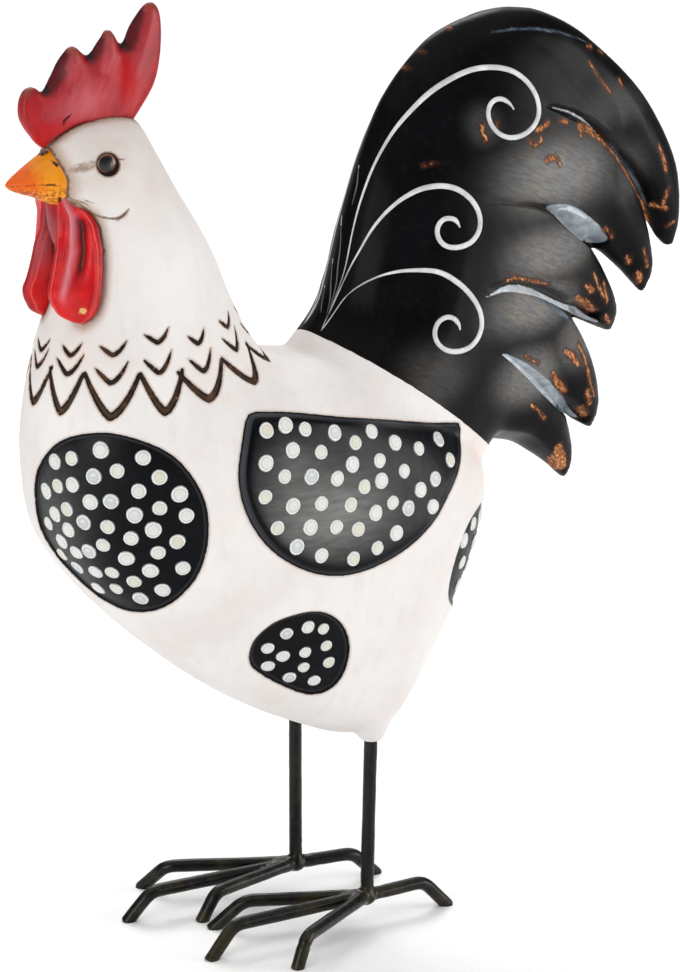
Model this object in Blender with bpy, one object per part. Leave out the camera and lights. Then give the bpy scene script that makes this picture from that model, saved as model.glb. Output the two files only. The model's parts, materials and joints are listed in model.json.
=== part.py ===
"""Painted resin rooster figurine on two welded steel rod legs.

Three separate bodies: the hollow resin casting (body, head, comb, wattles, beak
and tail feathers in one), and two legs of bent 1/4 inch steel rod.  The bird
looks along -Y, its left side is +X and it stands on its eight claw tips.
"""
import math

import bmesh
import bpy
import numpy as np
from mathutils import Matrix, Vector

MM = 0.001

# ---- steel legs ---------------------------------------------------------------
ROD_RADIUS = 3.175          # 1/4 inch round rod
ROD_SIDES = 12
CLEARANCE = 0.3             # glue gap between rod and socket
ROD_TOP = 111.0             # the rods run about 20 mm up into the casting
WELD_RADIUS = 4.3
LEFT_ROOT = (27.8, 3.0, 13.4)
LEFT_TOP = (28.2, 5.4, ROD_TOP)
LEFT_TOES = (               # bend of the toe, end of its claw
    ((5.2, -50.5, 14.0), (-4.0, -63.2, -0.9)),
    ((30.7, -71.1, 14.0), (32.1, -85.0, -0.9)),
    ((61.0, -50.5, 14.0), (62.5, -56.6, -0.9)),
    ((27.4, 35.0, 14.0), (27.4, 49.2, -0.9)),
)
RIGHT_ROOT = (-29.6, -1.0, 13.4)
RIGHT_TOP = (-29.6, -1.0, ROD_TOP)
RIGHT_TOES = (
    ((-56.2, -57.5, 14.0), (-71.6, -63.0, -0.9)),
    ((-28.6, -81.5, 14.0), (-33.2, -92.2, -0.9)),
    ((-12.1, -55.5, 14.0), (-14.8, -62.3, -0.9)),
    ((-24.4, 28.0, 14.0), (-28.7, 44.6, -0.9)),
)

# ---- resin casting: sections in mm ----------------------------------------------
# throat side y, z / nape side y, z / half width / roundness of the section
TRUNK = (
    (-124, 391, -112, 391.5, 5, 2.0),
    (-138, 386, -102, 387, 15, 2.1),
    (-145.5, 376, -94, 373, 21.5, 2.2),
    (-147, 362, -86, 359, 25, 2.2),
    (-142, 347, -79, 345, 28, 2.2),
    (-138, 328, -69.5, 328, 32, 2.2),
    (-141, 308, -60.5, 309, 36.5, 2.2),
    (-147.5, 287, -48.5, 290, 42, 2.2),
    (-152, 265, -33, 276, 49, 2.2),
    (-154, 243, -5, 270, 56, 2.25),
    (-152.5, 222, 27, 257, 61, 2.3),
    (-147, 202, 58, 238, 63.5, 2.4),
    (-135, 184, 74.5, 214, 64, 2.4),
    (-117, 163.5, 70.5, 190, 62, 2.4),
    (-94, 141.5, 61, 166, 57, 2.3),
    (-70, 121.5, 50, 144, 50.5, 2.3),
    (-46, 106, 40.5, 123, 43.5, 2.3),
    (-28, 97.5, 33.5, 107, 38, 2.4),
    (-13, 91.8, 26, 96, 30, 2.4),
    (-2, 88.8, 16, 90, 16, 2.3),
)
# front edge y, z / back edge y, z / half width / roundness
FAN = (
    (-34, 258, 80, 206, 46, 2.2),
    (-15, 279, 88, 218, 42.5, 2.2),
    (-5, 292, 94, 230, 40, 2.2),
    (0, 307, 100, 245, 37, 2.2),
    (6, 328, 109, 268, 33.5, 2.2),
    (12, 347, 118, 293, 30, 2.2),
    (18, 363, 126, 318, 27, 2.2),
    (27, 379, 132, 343, 23.5, 2.2),
    (39, 394.5, 134, 366, 20, 2.2),
    (55, 408, 130, 386, 16, 2.2),
    (72, 416, 120, 402, 12, 2.2),
    (90, 419, 106, 415, 6, 2.1),
)
# upper edge y, z / lower edge y, z / half thickness, from inside the fan to the tip
FEATHERS = (
    (
        (60, 409, 72, 385, 12),
        (82, 420, 86, 384, 12.5),
        (106, 420.3, 103, 382, 13),
        (142.5, 401, 131, 370, 12.5),
        (166, 380.5, 151, 353, 11.5),
        (183, 359, 166, 333, 10.3),
        (193.5, 338, 176, 316.5, 8.8),
        (196.5, 319, 184, 305, 6),
        (193.2, 301.5, 192, 300, 1.5),
    ),
    (
        (96, 388, 86, 322, 22),
        (120, 378.5, 108, 317, 20),
        (148, 358.5, 130, 310, 17),
        (169.5, 327.5, 148.5, 302, 13),
        (179, 302, 162.5, 291, 8.5),
        (180.3, 290, 169, 285, 6),
        (176.5, 280.5, 175, 280, 1.5),
    ),
    (
        (80, 339, 84, 286, 26),
        (109, 333, 104, 284, 22.5),
        (133, 315.5, 124, 276, 18.5),
        (150.5, 292, 141, 268, 13),
        (158.4, 274, 150, 264.5, 7.5),
        (157.6, 264.5, 156.5, 263, 1.5),
    ),
    (
        (76, 297, 80, 252, 27),
        (103, 294.5, 101, 248, 23.5),
        (125, 279.5, 118, 235.5, 19.5),
        (141, 255.5, 132, 223.5, 14.4),
        (148.3, 232, 141, 218.2, 8),
        (147, 218.5, 146, 217, 1.5),
    ),
    (
        (84, 268, 83, 226, 28),
        (105, 254.5, 100, 218.5, 23),
        (122, 236.5, 113, 209.5, 18),
        (131, 215, 123, 200.3, 11.5),
        (133, 203, 128, 196.3, 7),
        (132, 195.5, 131.2, 194.3, 1.5),
    ),
)
# comb edge y, z / its root in the skull y, z / half thickness, front to back
COMB = (
    (-151, 380, -147, 378, 3),
    (-157.5, 392, -145, 381, 6),
    (-155, 405, -142, 383, 6.8),
    (-147.5, 403.3, -140, 384, 7),
    (-138.3, 415, -135, 386, 7.4),
    (-131, 421.5, -130, 387, 7.5),
    (-124.5, 417, -124, 387, 7.5),
    (-114, 427, -118, 387, 7.5),
    (-108, 421.5, -114, 387, 7.5),
    (-99.5, 433, -111, 387, 7.3),
    (-92, 440, -109.5, 386.5, 7),
    (-88.3, 430, -108.5, 386, 6.8),
    (-89.5, 409, -107, 385.5, 6),
    (-104, 388, -105, 385, 3),
)
# ridge y, z / underside y, z / half width / roundness, base to tip
BEAK = (
    (-138, 378, -126, 355, 14, 2.2),
    (-144, 377.5, -135, 354, 14, 2.2),
    (-149, 375, -144, 355.3, 12.5, 2.2),
    (-155, 371.3, -153, 357.8, 9.2, 2.1),
    (-160.5, 367.6, -159.5, 359.6, 5.8, 2.0),
    (-165, 364.8, -164, 361.2, 2.8, 2.0),
    (-167.2, 363.6, -167, 362.6, 0.8, 2.0),
)
# centre y, z / half width / half thickness / distance from the middle, top to bottom
WATTLE = (
    (-139.5, 357, 5, 5, 7.5),
    (-139, 349, 6.6, 5.5, 8.7),
    (-138.5, 338, 9, 5.8, 10),
    (-139, 326, 11, 6.2, 12),
    (-140, 315, 12.8, 6.5, 14.2),
    (-140, 307.5, 12, 6, 14.4),
    (-139.5, 303, 8, 4.5, 14),
    (-139.5, 301.3, 3, 1.5, 14),
)
WATTLE_YAW = math.radians(12)
# near face of a feather: across (+1 upper edge, -1 lower edge), thickness
FEATHER_FACE = (
    (1.0, 0.0), (0.97, 0.3), (0.88, 0.58), (0.7, 0.8), (0.4, 0.95), (0.05, 1.0),
    (-0.3, 0.96), (-0.62, 0.86), (-0.82, 0.5), (-0.96, 0.2), (-1.0, 0.0),
)
COMB_FACE = (
    (1.0, 0.0), (0.985, 0.18), (0.93, 0.34), (0.8, 0.46), (0.5, 0.6),
    (0.0, 0.78), (-0.5, 0.93), (-0.9, 1.0), (-1.0, 0.0),
)
BOSS_RINGS = ((89.5, 6.6), (90.8, 7.8), (94.0, 9.2), (102.0, 11.0))   # z, radius
VOXEL = 2.0
CASTING_TRIANGLES = 7600


def resample(rows, count):
    """Smooth rows run through the given rows, evenly spread by section spacing."""
    rows = np.asarray(rows, float)
    steps = np.linalg.norm(np.diff(rows[:, :4], axis=0), axis=1) ** 0.5
    knots = np.r_[0.0, np.cumsum(steps)]
    slopes = np.zeros_like(rows)
    for i in range(len(rows)):
        a = max(i - 1, 0)
        b = min(i + 1, len(rows) - 1)
        slopes[i] = (rows[b] - rows[a]) / (knots[b] - knots[a])
    out = []
    for t in np.linspace(0.0, knots[-1], count):
        i = min(int(np.searchsorted(knots, t, side="right")) - 1, len(rows) - 2)
        h = knots[i + 1] - knots[i]
        s = (t - knots[i]) / h
        value = (2 * s**3 - 3 * s**2 + 1) * rows[i] + (s**3 - 2 * s**2 + s) * h * slopes[i]
        value = value + (3 * s**2 - 2 * s**3) * rows[i + 1] + (s**3 - s**2) * h * slopes[i + 1]
        out.append(value)
    return np.array(out)


def even_profile(face, count):
    """Closed section from one face profile and its mirror image."""
    face = np.asarray(face, float)
    run = np.r_[0.0, np.cumsum(np.linalg.norm(np.diff(face, axis=0), axis=1))]
    at = np.linspace(0.0, run[-1], count + 1)
    across = np.interp(at, run, face[:, 0])
    thick = np.interp(at, run, face[:, 1])
    across = np.r_[across, across[-2:0:-1]]
    thick = np.r_[thick, -thick[-2:0:-1]]
    return list(zip(across, thick))


def add_rings(bm, rings):
    """Skin a list of point rings and close both ends."""
    loops = [[bm.verts.new(Vector(p) * MM) for p in ring] for ring in rings]
    size = len(loops[0])
    for low, high in zip(loops[:-1], loops[1:]):
        for j in range(size):
            k = (j + 1) % size
            bm.faces.new((low[j], high[j], high[k], low[k]))
    bm.faces.new(loops[0])
    bm.faces.new(loops[-1][::-1])


def round_loft(bm, rows, rings, sides):
    """Loft of rounded sections hung between a front and a back rail."""
    out = []
    for y0, z0, y1, z1, half, power in resample(rows, rings):
        ring = []
        for j in range(sides):
            angle = 2 * math.pi * j / sides
            c = math.copysign(abs(math.cos(angle)) ** (2 / power), math.cos(angle))
            s = math.copysign(abs(math.sin(angle)) ** (2 / power), math.sin(angle))
            y = (y0 + y1) / 2 + (y0 - y1) / 2 * c
            z = (z0 + z1) / 2 + (z0 - z1) / 2 * c
            ring.append((half * s, y, z))
        out.append(ring)
    add_rings(bm, out)


def face_loft(bm, rows, rings, profile):
    """Loft of one profiled section between an upper and a lower rail."""
    out = []
    for y0, z0, y1, z1, half in resample(rows, rings):
        ring = []
        for across, thick in profile:
            y = (y0 + y1) / 2 + (y0 - y1) / 2 * across
            z = (z0 + z1) / 2 + (z0 - z1) / 2 * across
            ring.append((half * thick, y, z))
        out.append(ring)
    add_rings(bm, out)


def wattle_loft(bm, side, rings, sides):
    """One hanging wattle, slightly turned out, side +1 left or -1 right."""
    table = [(y, z, 0, 0, half, thick, off) for y, z, half, thick, off in WATTLE]
    out = []
    for y, z, _a, _b, half, thick, off in resample(table, rings):
        ring = []
        for j in range(sides):
            angle = 2 * math.pi * j / sides
            u = half * math.cos(angle)
            v = thick * math.sin(angle)
            px = off + u * math.sin(WATTLE_YAW) + v * math.cos(WATTLE_YAW)
            py = y + u * math.cos(WATTLE_YAW) - v * math.sin(WATTLE_YAW)
            ring.append((side * px, py, z))
        out.append(ring)
    add_rings(bm, out)


def boss_loft(bm, top, root):
    """Small collar of resin where a rod enters the belly."""
    out = []
    for z, radius in BOSS_RINGS:
        t = (z - root[2]) / (top[2] - root[2])
        cx = root[0] + (top[0] - root[0]) * t
        cy = root[1] + (top[1] - root[1]) * t
        ring = []
        for j in range(20):
            angle = 2 * math.pi * j / 20
            ring.append((cx + radius * math.cos(angle), cy + radius * math.sin(angle), z))
        out.append(ring)
    add_rings(bm, out)


def rod(bm, points, radius, sides):
    """Round bar run through the given points."""
    points = [Vector(p) for p in points]
    rings = []
    for i, point in enumerate(points):
        along = points[min(i + 1, len(points) - 1)] - points[max(i - 1, 0)]
        along.normalize()
        side = along.cross(Vector((0, 0, 1)))
        if side.length < 0.3:
            side = along.cross(Vector((0, 1, 0)))
        side.normalize()
        over = along.cross(side)
        ring = []
        for j in range(sides):
            angle = 2 * math.pi * (j + 0.5) / sides
            offset = side * (radius * math.cos(angle)) + over * (radius * math.sin(angle))
            ring.append(tuple(point + offset))
        rings.append(ring)
    add_rings(bm, rings)


def toe_path(root, bend, tip):
    """Centre line of one toe: straight out, a short rounded bend, down to the ground."""
    root, bend, tip = Vector(root), Vector(bend), Vector(tip)
    before = bend + (root - bend).normalized() * 5.0
    after = bend + (tip - bend).normalized() * 5.0
    middle = (before + after) / 4 + bend / 2
    return (root, before, middle, after, tip)


def new_object(name, bm):
    """Object from a bmesh with outward normals."""
    bmesh.ops.recalc_face_normals(bm, faces=bm.faces)
    mesh = bpy.data.meshes.new(name)
    bm.to_mesh(mesh)
    bm.free()
    obj = bpy.data.objects.new(name, mesh)
    bpy.context.scene.collection.objects.link(obj)
    return obj


def bake(obj):
    """Replace an object's mesh with its evaluated one and drop the modifiers."""
    bpy.context.view_layer.update()
    graph = bpy.context.evaluated_depsgraph_get()
    mesh = bpy.data.meshes.new_from_object(obj.evaluated_get(graph))
    obj.modifiers.clear()
    obj.data = mesh


def combine(obj, other, operation):
    """Exact boolean of two objects; the second one is used up."""
    modifier = obj.modifiers.new(operation.lower(), "BOOLEAN")
    modifier.operation = operation
    modifier.solver = "EXACT"
    modifier.object = other
    other.hide_render = True
    other.display_type = "WIRE"
    bake(obj)
    bpy.data.objects.remove(other, do_unlink=True)


def material(name, color, roughness, metallic):
    mat = bpy.data.materials.new(name)
    mat.use_nodes = True
    shader = mat.node_tree.nodes["Principled BSDF"]
    shader.inputs["Base Color"].default_value = (*color, 1.0)
    shader.inputs["Roughness"].default_value = roughness
    shader.inputs["Metallic"].default_value = metallic
    return mat


def make_leg(name, root, top, toes):
    """Upright rod, four welded toes and the weld between them, cut level at the floor."""
    bm = bmesh.new()
    rod(bm, (root, top), ROD_RADIUS, ROD_SIDES)
    leg = new_object(name, bm)
    for index, (bend, tip) in enumerate(toes):
        bm = bmesh.new()
        rod(bm, toe_path(root, bend, tip), ROD_RADIUS, ROD_SIDES)
        combine(leg, new_object("toe_%d" % index, bm), "UNION")
    bm = bmesh.new()
    bmesh.ops.create_icosphere(bm, subdivisions=2, radius=WELD_RADIUS * MM)
    bmesh.ops.translate(bm, verts=bm.verts, vec=Vector(root) * MM)
    combine(leg, new_object("weld", bm), "UNION")
    bm = bmesh.new()
    bmesh.ops.create_cube(bm, size=0.4)
    bmesh.ops.translate(bm, verts=bm.verts, vec=(0.0, 0.0, -0.2))
    combine(leg, new_object("floor_cut", bm), "DIFFERENCE")
    return leg


def make_casting():
    """All resin forms fused into one skin, with a socket for each rod."""
    bm = bmesh.new()
    round_loft(bm, TRUNK, 72, 64)
    round_loft(bm, FAN, 48, 56)
    feather = even_profile(FEATHER_FACE, 20)
    for rows in FEATHERS:
        face_loft(bm, rows, 36, feather)
    face_loft(bm, COMB, 80, even_profile(COMB_FACE, 14))
    round_loft(bm, BEAK, 20, 28)
    for side in (1, -1):
        wattle_loft(bm, side, 24, 24)
    boss_loft(bm, LEFT_TOP, LEFT_ROOT)
    boss_loft(bm, RIGHT_TOP, RIGHT_ROOT)
    casting = new_object("resin_rooster", bm)
    remesh = casting.modifiers.new("fuse", "REMESH")
    remesh.mode = "VOXEL"
    remesh.voxel_size = VOXEL * MM
    remesh.adaptivity = 0.0
    bake(casting)
    bm = bmesh.new()
    bm.from_mesh(casting.data)
    for _pass in range(3):
        bmesh.ops.smooth_vert(bm, verts=bm.verts, factor=0.5, use_axis_x=True, use_axis_y=True, use_axis_z=True)
    bmesh.ops.triangulate(bm, faces=bm.faces)
    count = len(bm.faces)
    bm.to_mesh(casting.data)
    bm.free()
    thin = casting.modifiers.new("thin", "DECIMATE")
    thin.ratio = CASTING_TRIANGLES / count
    bake(casting)
    for root, top in ((LEFT_ROOT, LEFT_TOP), (RIGHT_ROOT, RIGHT_TOP)):
        bm = bmesh.new()
        lean = (Vector(top) - Vector(root)).normalized()
        rod(bm, (Vector(root) + lean * 50, Vector(top) + lean * CLEARANCE), ROD_RADIUS + CLEARANCE, ROD_SIDES)
        combine(casting, new_object("socket", bm), "DIFFERENCE")
    return casting


def settle(objects):
    """Put the middle of the footprint of the whole figure at the origin."""
    points = [v.co for obj in objects for v in obj.data.vertices]
    low = Vector((min(p.x for p in points), min(p.y for p in points), min(p.z for p in points)))
    high = Vector((max(p.x for p in points), max(p.y for p in points), max(p.z for p in points)))
    shift = Vector((-(low.x + high.x) / 2, -(low.y + high.y) / 2, -low.z))
    for obj in objects:
        obj.data.transform(Matrix.Translation(shift))


def main():
    for obj in list(bpy.data.objects):
        bpy.data.objects.remove(obj, do_unlink=True)
    casting = make_casting()
    left = make_leg("left_leg", LEFT_ROOT, LEFT_TOP, LEFT_TOES)
    right = make_leg("right_leg", RIGHT_ROOT, RIGHT_TOP, RIGHT_TOES)
    settle((casting, left, right))
    looks = (
        (casting, "painted_resin", (0.83, 0.79, 0.75), 0.45, 0.0),
        (left, "dark_steel_left", (0.045, 0.04, 0.033), 0.45, 0.8),
        (right, "dark_steel_right", (0.045, 0.04, 0.033), 0.45, 0.8),
    )
    for obj, name, color, roughness, metallic in looks:
        obj.data.materials.clear()
        obj.data.materials.append(material(name, color, roughness, metallic))


main()
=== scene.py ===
"""Finish of the painted resin rooster on its two steel legs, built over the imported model.

Every shape is worked in millimetres about the ground point between the feet, with the
bird looking along -Y, and each finished mesh is then moved into the frame in metres.
"""
import math

import bmesh
import bpy
import numpy as np
from mathutils import Matrix, Vector, noise
from mathutils.bvhtree import BVHTree
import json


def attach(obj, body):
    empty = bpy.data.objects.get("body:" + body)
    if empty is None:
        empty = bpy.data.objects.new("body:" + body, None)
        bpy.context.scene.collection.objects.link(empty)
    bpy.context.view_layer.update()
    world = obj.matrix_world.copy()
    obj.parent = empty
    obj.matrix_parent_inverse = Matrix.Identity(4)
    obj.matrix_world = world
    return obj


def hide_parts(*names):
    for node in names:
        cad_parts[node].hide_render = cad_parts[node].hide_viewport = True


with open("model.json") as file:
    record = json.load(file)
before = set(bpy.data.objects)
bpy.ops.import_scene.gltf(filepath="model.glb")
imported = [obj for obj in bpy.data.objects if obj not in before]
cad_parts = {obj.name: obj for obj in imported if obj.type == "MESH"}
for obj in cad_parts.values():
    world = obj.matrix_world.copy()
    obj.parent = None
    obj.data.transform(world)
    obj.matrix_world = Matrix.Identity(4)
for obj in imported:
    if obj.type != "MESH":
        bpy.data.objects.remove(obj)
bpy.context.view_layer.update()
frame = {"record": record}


# ---- studio ----
# A plain pale floor in a bright room, four soft lights about the bird and a fifth that
# evens out the floor behind it. The camera stands two metres off, in front of the bird's
# left side and a little above it.
MM = 0.001
CLAW_END = (31.93, -83.29, 0.0)      # the left middle claw, from the point between the feet
claw = next(m for m in frame["record"]["mounts"] if m["name"] == "left_middle_claw_end")
PLACE = Vector(claw["pos_m"]) - Vector(CLAW_END) * MM
CAMERA_SPOT = Vector((1.64328, -1.02123, 0.70642))
CAMERA_TURN = math.radians(58)
CAMERA_DIP = math.radians(14.5)
CAMERA_LENS = 159.84
FLOOR_REACH = 7.0
LIGHT_AIM = Vector((0.0, 0.0, 0.2))  # what the lights point at
FLOOR_GAP = 0.02                     # least height of a light's lower edge

scene = bpy.context.scene
scene.view_settings.view_transform = "Standard"


def placed(name, data, spot=(0.0, 0.0, 0.0), rotation=(0.0, 0.0, 0.0)):
    """New object in the scene."""
    thing = bpy.data.objects.new(name, data)
    thing.location = spot
    thing.rotation_euler = rotation
    scene.collection.objects.link(thing)
    return thing


def formed(name, bm):
    """New object in the scene made of a finished mesh, which is used up."""
    mesh = bpy.data.meshes.new(name)
    bm.to_mesh(mesh)
    bm.free()
    return placed(name, mesh)


bm = bmesh.new()
bmesh.ops.create_grid(bm, x_segments=8, y_segments=8, size=FLOOR_REACH)
floor = formed("floor", bm)

camera_data = bpy.data.cameras.new("camera")
camera_data.lens = CAMERA_LENS
camera_data.sensor_width = 36.0
camera_way = (math.pi / 2 - CAMERA_DIP, 0.0, CAMERA_TURN)
scene.camera = placed("camera", camera_data, PLACE + CAMERA_SPOT, camera_way)


def soft_light(name, spot, rotation, width, height, power):
    """Rectangular soft light; it shines straight down until it is turned."""
    data = bpy.data.lights.new(name, "AREA")
    data.shape = "RECTANGLE"
    data.size = width
    data.size_y = height
    data.energy = power
    placed(name, data, spot, rotation).visible_camera = False


def aimed_light(name, turn, lift, reach, width, height, power):
    """Soft light aimed at the bird, turn counted from +X; it stands on the floor at least."""
    turn, lift = math.radians(turn), math.radians(lift)
    way = Vector((math.cos(turn) * math.cos(lift), math.sin(turn) * math.cos(lift), math.sin(lift)))
    spot = LIGHT_AIM + way * reach
    spot.z = max(spot.z, height / 2 + FLOOR_GAP)
    soft_light(name, spot, way.to_track_quat("Z", "Y").to_euler(), width, height, power)


aimed_light("front_light", -66, 10, 1.8, 0.9, 0.9, 13)
aimed_light("side_light", 56, 0, 1.8, 0.4, 0.9, 13)
aimed_light("low_side_light", 33, 0, 1.15, 0.25, 0.35, 1.6)
aimed_light("back_light", 160, 45, 1.8, 0.9, 0.9, 11)
soft_light("far_floor_light", (-2.3, 1.45, 1.7), (0.0, 0.0, 0.0), 2.4, 2.4, 22)


class Tone:
    """One socket of a material, which takes part in ordinary arithmetic."""

    def __init__(self, socket):
        self.socket = socket

    def node(self, kind, settings=None, inputs=None, output=0):
        """Add any node to this material; inputs go by number or name, stops fill a ramp."""
        tree = self.socket.id_data
        made = tree.nodes.new(kind)
        for name, value in (settings or {}).items():
            if name == "stops":
                while len(made.color_ramp.elements) < len(value):
                    made.color_ramp.elements.new(0.5)
                for element, (position, color) in zip(made.color_ramp.elements, value):
                    element.position = position
                    element.color = color
            else:
                setattr(made, name, value)
        for name, value in (inputs or {}).items():
            if isinstance(value, Tone):
                tree.links.new(value.socket, made.inputs[name])
            else:
                made.inputs[name].default_value = value
        return Tone(made.outputs[output])

    def math(self, operation, first, second=0.0, clamp=False):
        settings = {"operation": operation, "use_clamp": clamp}
        return self.node("ShaderNodeMath", settings, {0: first, 1: second})

    def __add__(self, other):
        return self.math("ADD", self, other)

    __radd__ = __add__

    def __sub__(self, other):
        return self.math("SUBTRACT", self, other)

    def __rsub__(self, other):
        return self.math("SUBTRACT", other, self)

    def __mul__(self, other):
        return self.math("MULTIPLY", self, other)

    __rmul__ = __mul__

    def most(self, other):
        return self.math("MAXIMUM", self, other)

    def held(self):
        """The value kept between 0 and 1."""
        return self.math("ADD", self, 0.0, clamp=True)

    def between(self, low, high):
        """0 at low, 1 at high and a smooth rise from one to the other."""
        values = {0: self, 1: low, 2: high, 3: 0.0, 4: 1.0}
        return self.node("ShaderNodeMapRange", {"interpolation_type": "SMOOTHSTEP"}, values)

    def below(self, low, high):
        """1 at low, 0 at high and a smooth fall from one to the other."""
        return 1.0 - self.between(low, high)

    def near(self, value, low, high):
        """1 within low of a value, 0 from high away."""
        return self.math("ABSOLUTE", self - value).below(low, high)

    def over(self, under, top):
        """Colour under with colour top laid over it where this mask is 1."""
        under, top = (color if isinstance(color, Tone) else tint(*color) for color in (under, top))
        return self.node("ShaderNodeMix", {"data_type": "RGBA"}, {0: self, 6: under, 7: top}, 2)

    def grain(self, size, detail=2.0, rough=0.5, stretch=(1, 1, 1), turn=0, shift=0.0):
        """Noise with features about size millimetres across, turned by degrees about X."""
        spot = {0: self, 1: (-shift, -shift * 0.7, shift), 2: (math.radians(turn), 0, 0), 3: stretch}
        spot = self.node("ShaderNodeMapping", {"vector_type": "TEXTURE"}, spot)
        values = {0: spot, "Scale": 1.0 / size, "Detail": detail, "Roughness": rough}
        return self.node("ShaderNodeTexNoise", None, values)

    def mark(self, name):
        """A number stored on the mesh."""
        return self.node("ShaderNodeAttribute", {"attribute_name": name}, None, 2)

    def uneven(self, name, amount, size, *look, **more):
        """A number stored on the mesh, swayed up and down by grain of this size."""
        return self.mark(name) + (self.grain(size, *look, **more) - 0.5) * amount


def tint(red, green, blue):
    """Paint colour from its 0 to 255 values on a colour card."""
    parts = []
    for value in (red, green, blue):
        value /= 255
        parts.append(value / 12.92 if value <= 0.04045 else ((value + 0.055) / 1.055) ** 2.4)
    return (*parts, 1.0)


def coats(color, *layers):
    """Colour with more paint laid over it, each layer a mask and its colour."""
    for mask, paint in layers:
        color = mask.over(color, paint)
    return color


def new_finish(name):
    """Empty material, and the position on the piece in millimetres to start from."""
    finish = bpy.data.materials.new(name)
    finish.use_nodes = True
    start = Tone(finish.node_tree.nodes["Principled BSDF"].outputs[0])
    place = start.node("ShaderNodeTexCoord", None, None, "Object")
    at = start.node("ShaderNodeVectorMath", {"operation": "SCALE"}, {0: place, "Scale": 1.0 / MM})
    return finish, at


def close_finish(finish, color, roughness, height, **constants):
    """Wire a finish up: colour, roughness and a relief height in millimetres."""
    shader = finish.node_tree.nodes["Principled BSDF"]
    bump = height.node("ShaderNodeBump", None, {"Strength": 1.0, "Distance": MM, "Height": height})
    for name, value in (("Base Color", color), ("Roughness", roughness), ("Normal", bump)):
        finish.node_tree.links.new(value.socket, shader.inputs[name])
    for name, value in constants.items():
        shader.inputs[name.replace("_", " ").title().replace("Ior", "IOR")].default_value = value


SKY = ((0.0, 0.4), (0.12, 0.3), (0.3, 0.12), (0.6, 0.2), (0.8, 1.15))   # height, brightness of the room
world = bpy.data.worlds.new("room")
world.use_nodes = True
scene.world = world
backdrop = world.node_tree.nodes["Background"]
sky = Tone(backdrop.outputs[0]).node("ShaderNodeTexCoord", None, None, "Generated")
sky = sky.node("ShaderNodeSeparateXYZ", None, {0: sky}, "Z")
stops = [(height, (light, light, light, 1.0)) for height, light in SKY]
sky = sky.node("ShaderNodeValToRGB", {"stops": stops}, {0: sky})
world.node_tree.links.new(sky.socket, backdrop.inputs["Color"])

floor_finish, at = new_finish("pale_floor")
close_finish(floor_finish, at.grain(90.0).over((250, 250, 250), (253, 253, 253)),
             0.6 + at.grain(30.0) * 0.1, at.grain(2.0) * 0.02)
floor.data.materials.append(floor_finish)


# ---- resin casting: the skin of the body, neck and tail ----
# One hollow cast of white resin. Body, neck and tail were carved as one form, so
# they are made here as overlapping forms and run together into one skin.

# throat side y, z / nape side y, z / half width / roundness of the section
TRUNK = (
    (-124, 391, -112, 391.5, 5, 2.0), (-138, 386, -102, 387, 15, 2.1), (-145.5, 376, -94, 373, 21.5, 2.2),
    (-147, 362, -86, 359, 25, 2.2), (-142, 347, -77.5, 345, 28, 2.2), (-138, 328, -68, 328, 32, 2.2),
    (-141, 308, -60.5, 309, 36.5, 2.2), (-147.5, 287, -50.5, 289, 42, 2.2),
    (-152, 265, -36, 274.5, 49, 2.2), (-154, 243, -5, 270, 56, 2.25), (-152.5, 222, 27, 257, 60.5, 2.3),
    (-147.5, 201.5, 57, 238, 62, 2.4), (-136, 183.5, 73, 214, 62.2, 2.4),
    (-118, 163.5, 72.5, 190, 60.8, 2.4), (-94.5, 142, 65, 166, 56.5, 2.3),
    (-69.5, 122.5, 54, 144, 50.5, 2.3), (-45, 107.5, 42.5, 123, 43.5, 2.3),
    (-27.5, 99.4, 31.5, 107.3, 38, 2.4), (-13, 93.4, 25.5, 97.2, 29, 2.4), (-1, 91.2, 15.5, 92.2, 15, 2.3),
)
# front edge y, z / back edge y, z / half width, from inside the saddle to the crest
FAN = (
    (-34, 258, 73, 211, 46), (-14, 279, 82, 221, 43), (-4, 292, 97, 231, 40.5), (1, 307, 116, 241, 38),
    (6.5, 328, 126, 261, 35.5), (12.5, 347, 134, 287, 33), (18.5, 363.5, 144, 314, 30),
    (26.5, 380.5, 156, 341, 26.5), (37.5, 396, 160, 366, 22), (53, 410, 149, 389, 17),
    (71, 417.8, 127, 403, 12), (89, 420.3, 109, 416, 6),
)
# outer face of the fan: across (+1 front edge, -1 back edge), thickness
FAN_FACE = (
    (1.0, 0.0), (0.98, 0.16), (0.93, 0.34), (0.82, 0.56), (0.66, 0.77), (0.47, 0.92), (0.28, 0.99),
    (0.05, 0.985), (-0.25, 0.91), (-0.5, 0.80), (-0.72, 0.68), (-0.88, 0.55), (-0.97, 0.34), (-1.0, 0.0),
)
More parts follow.
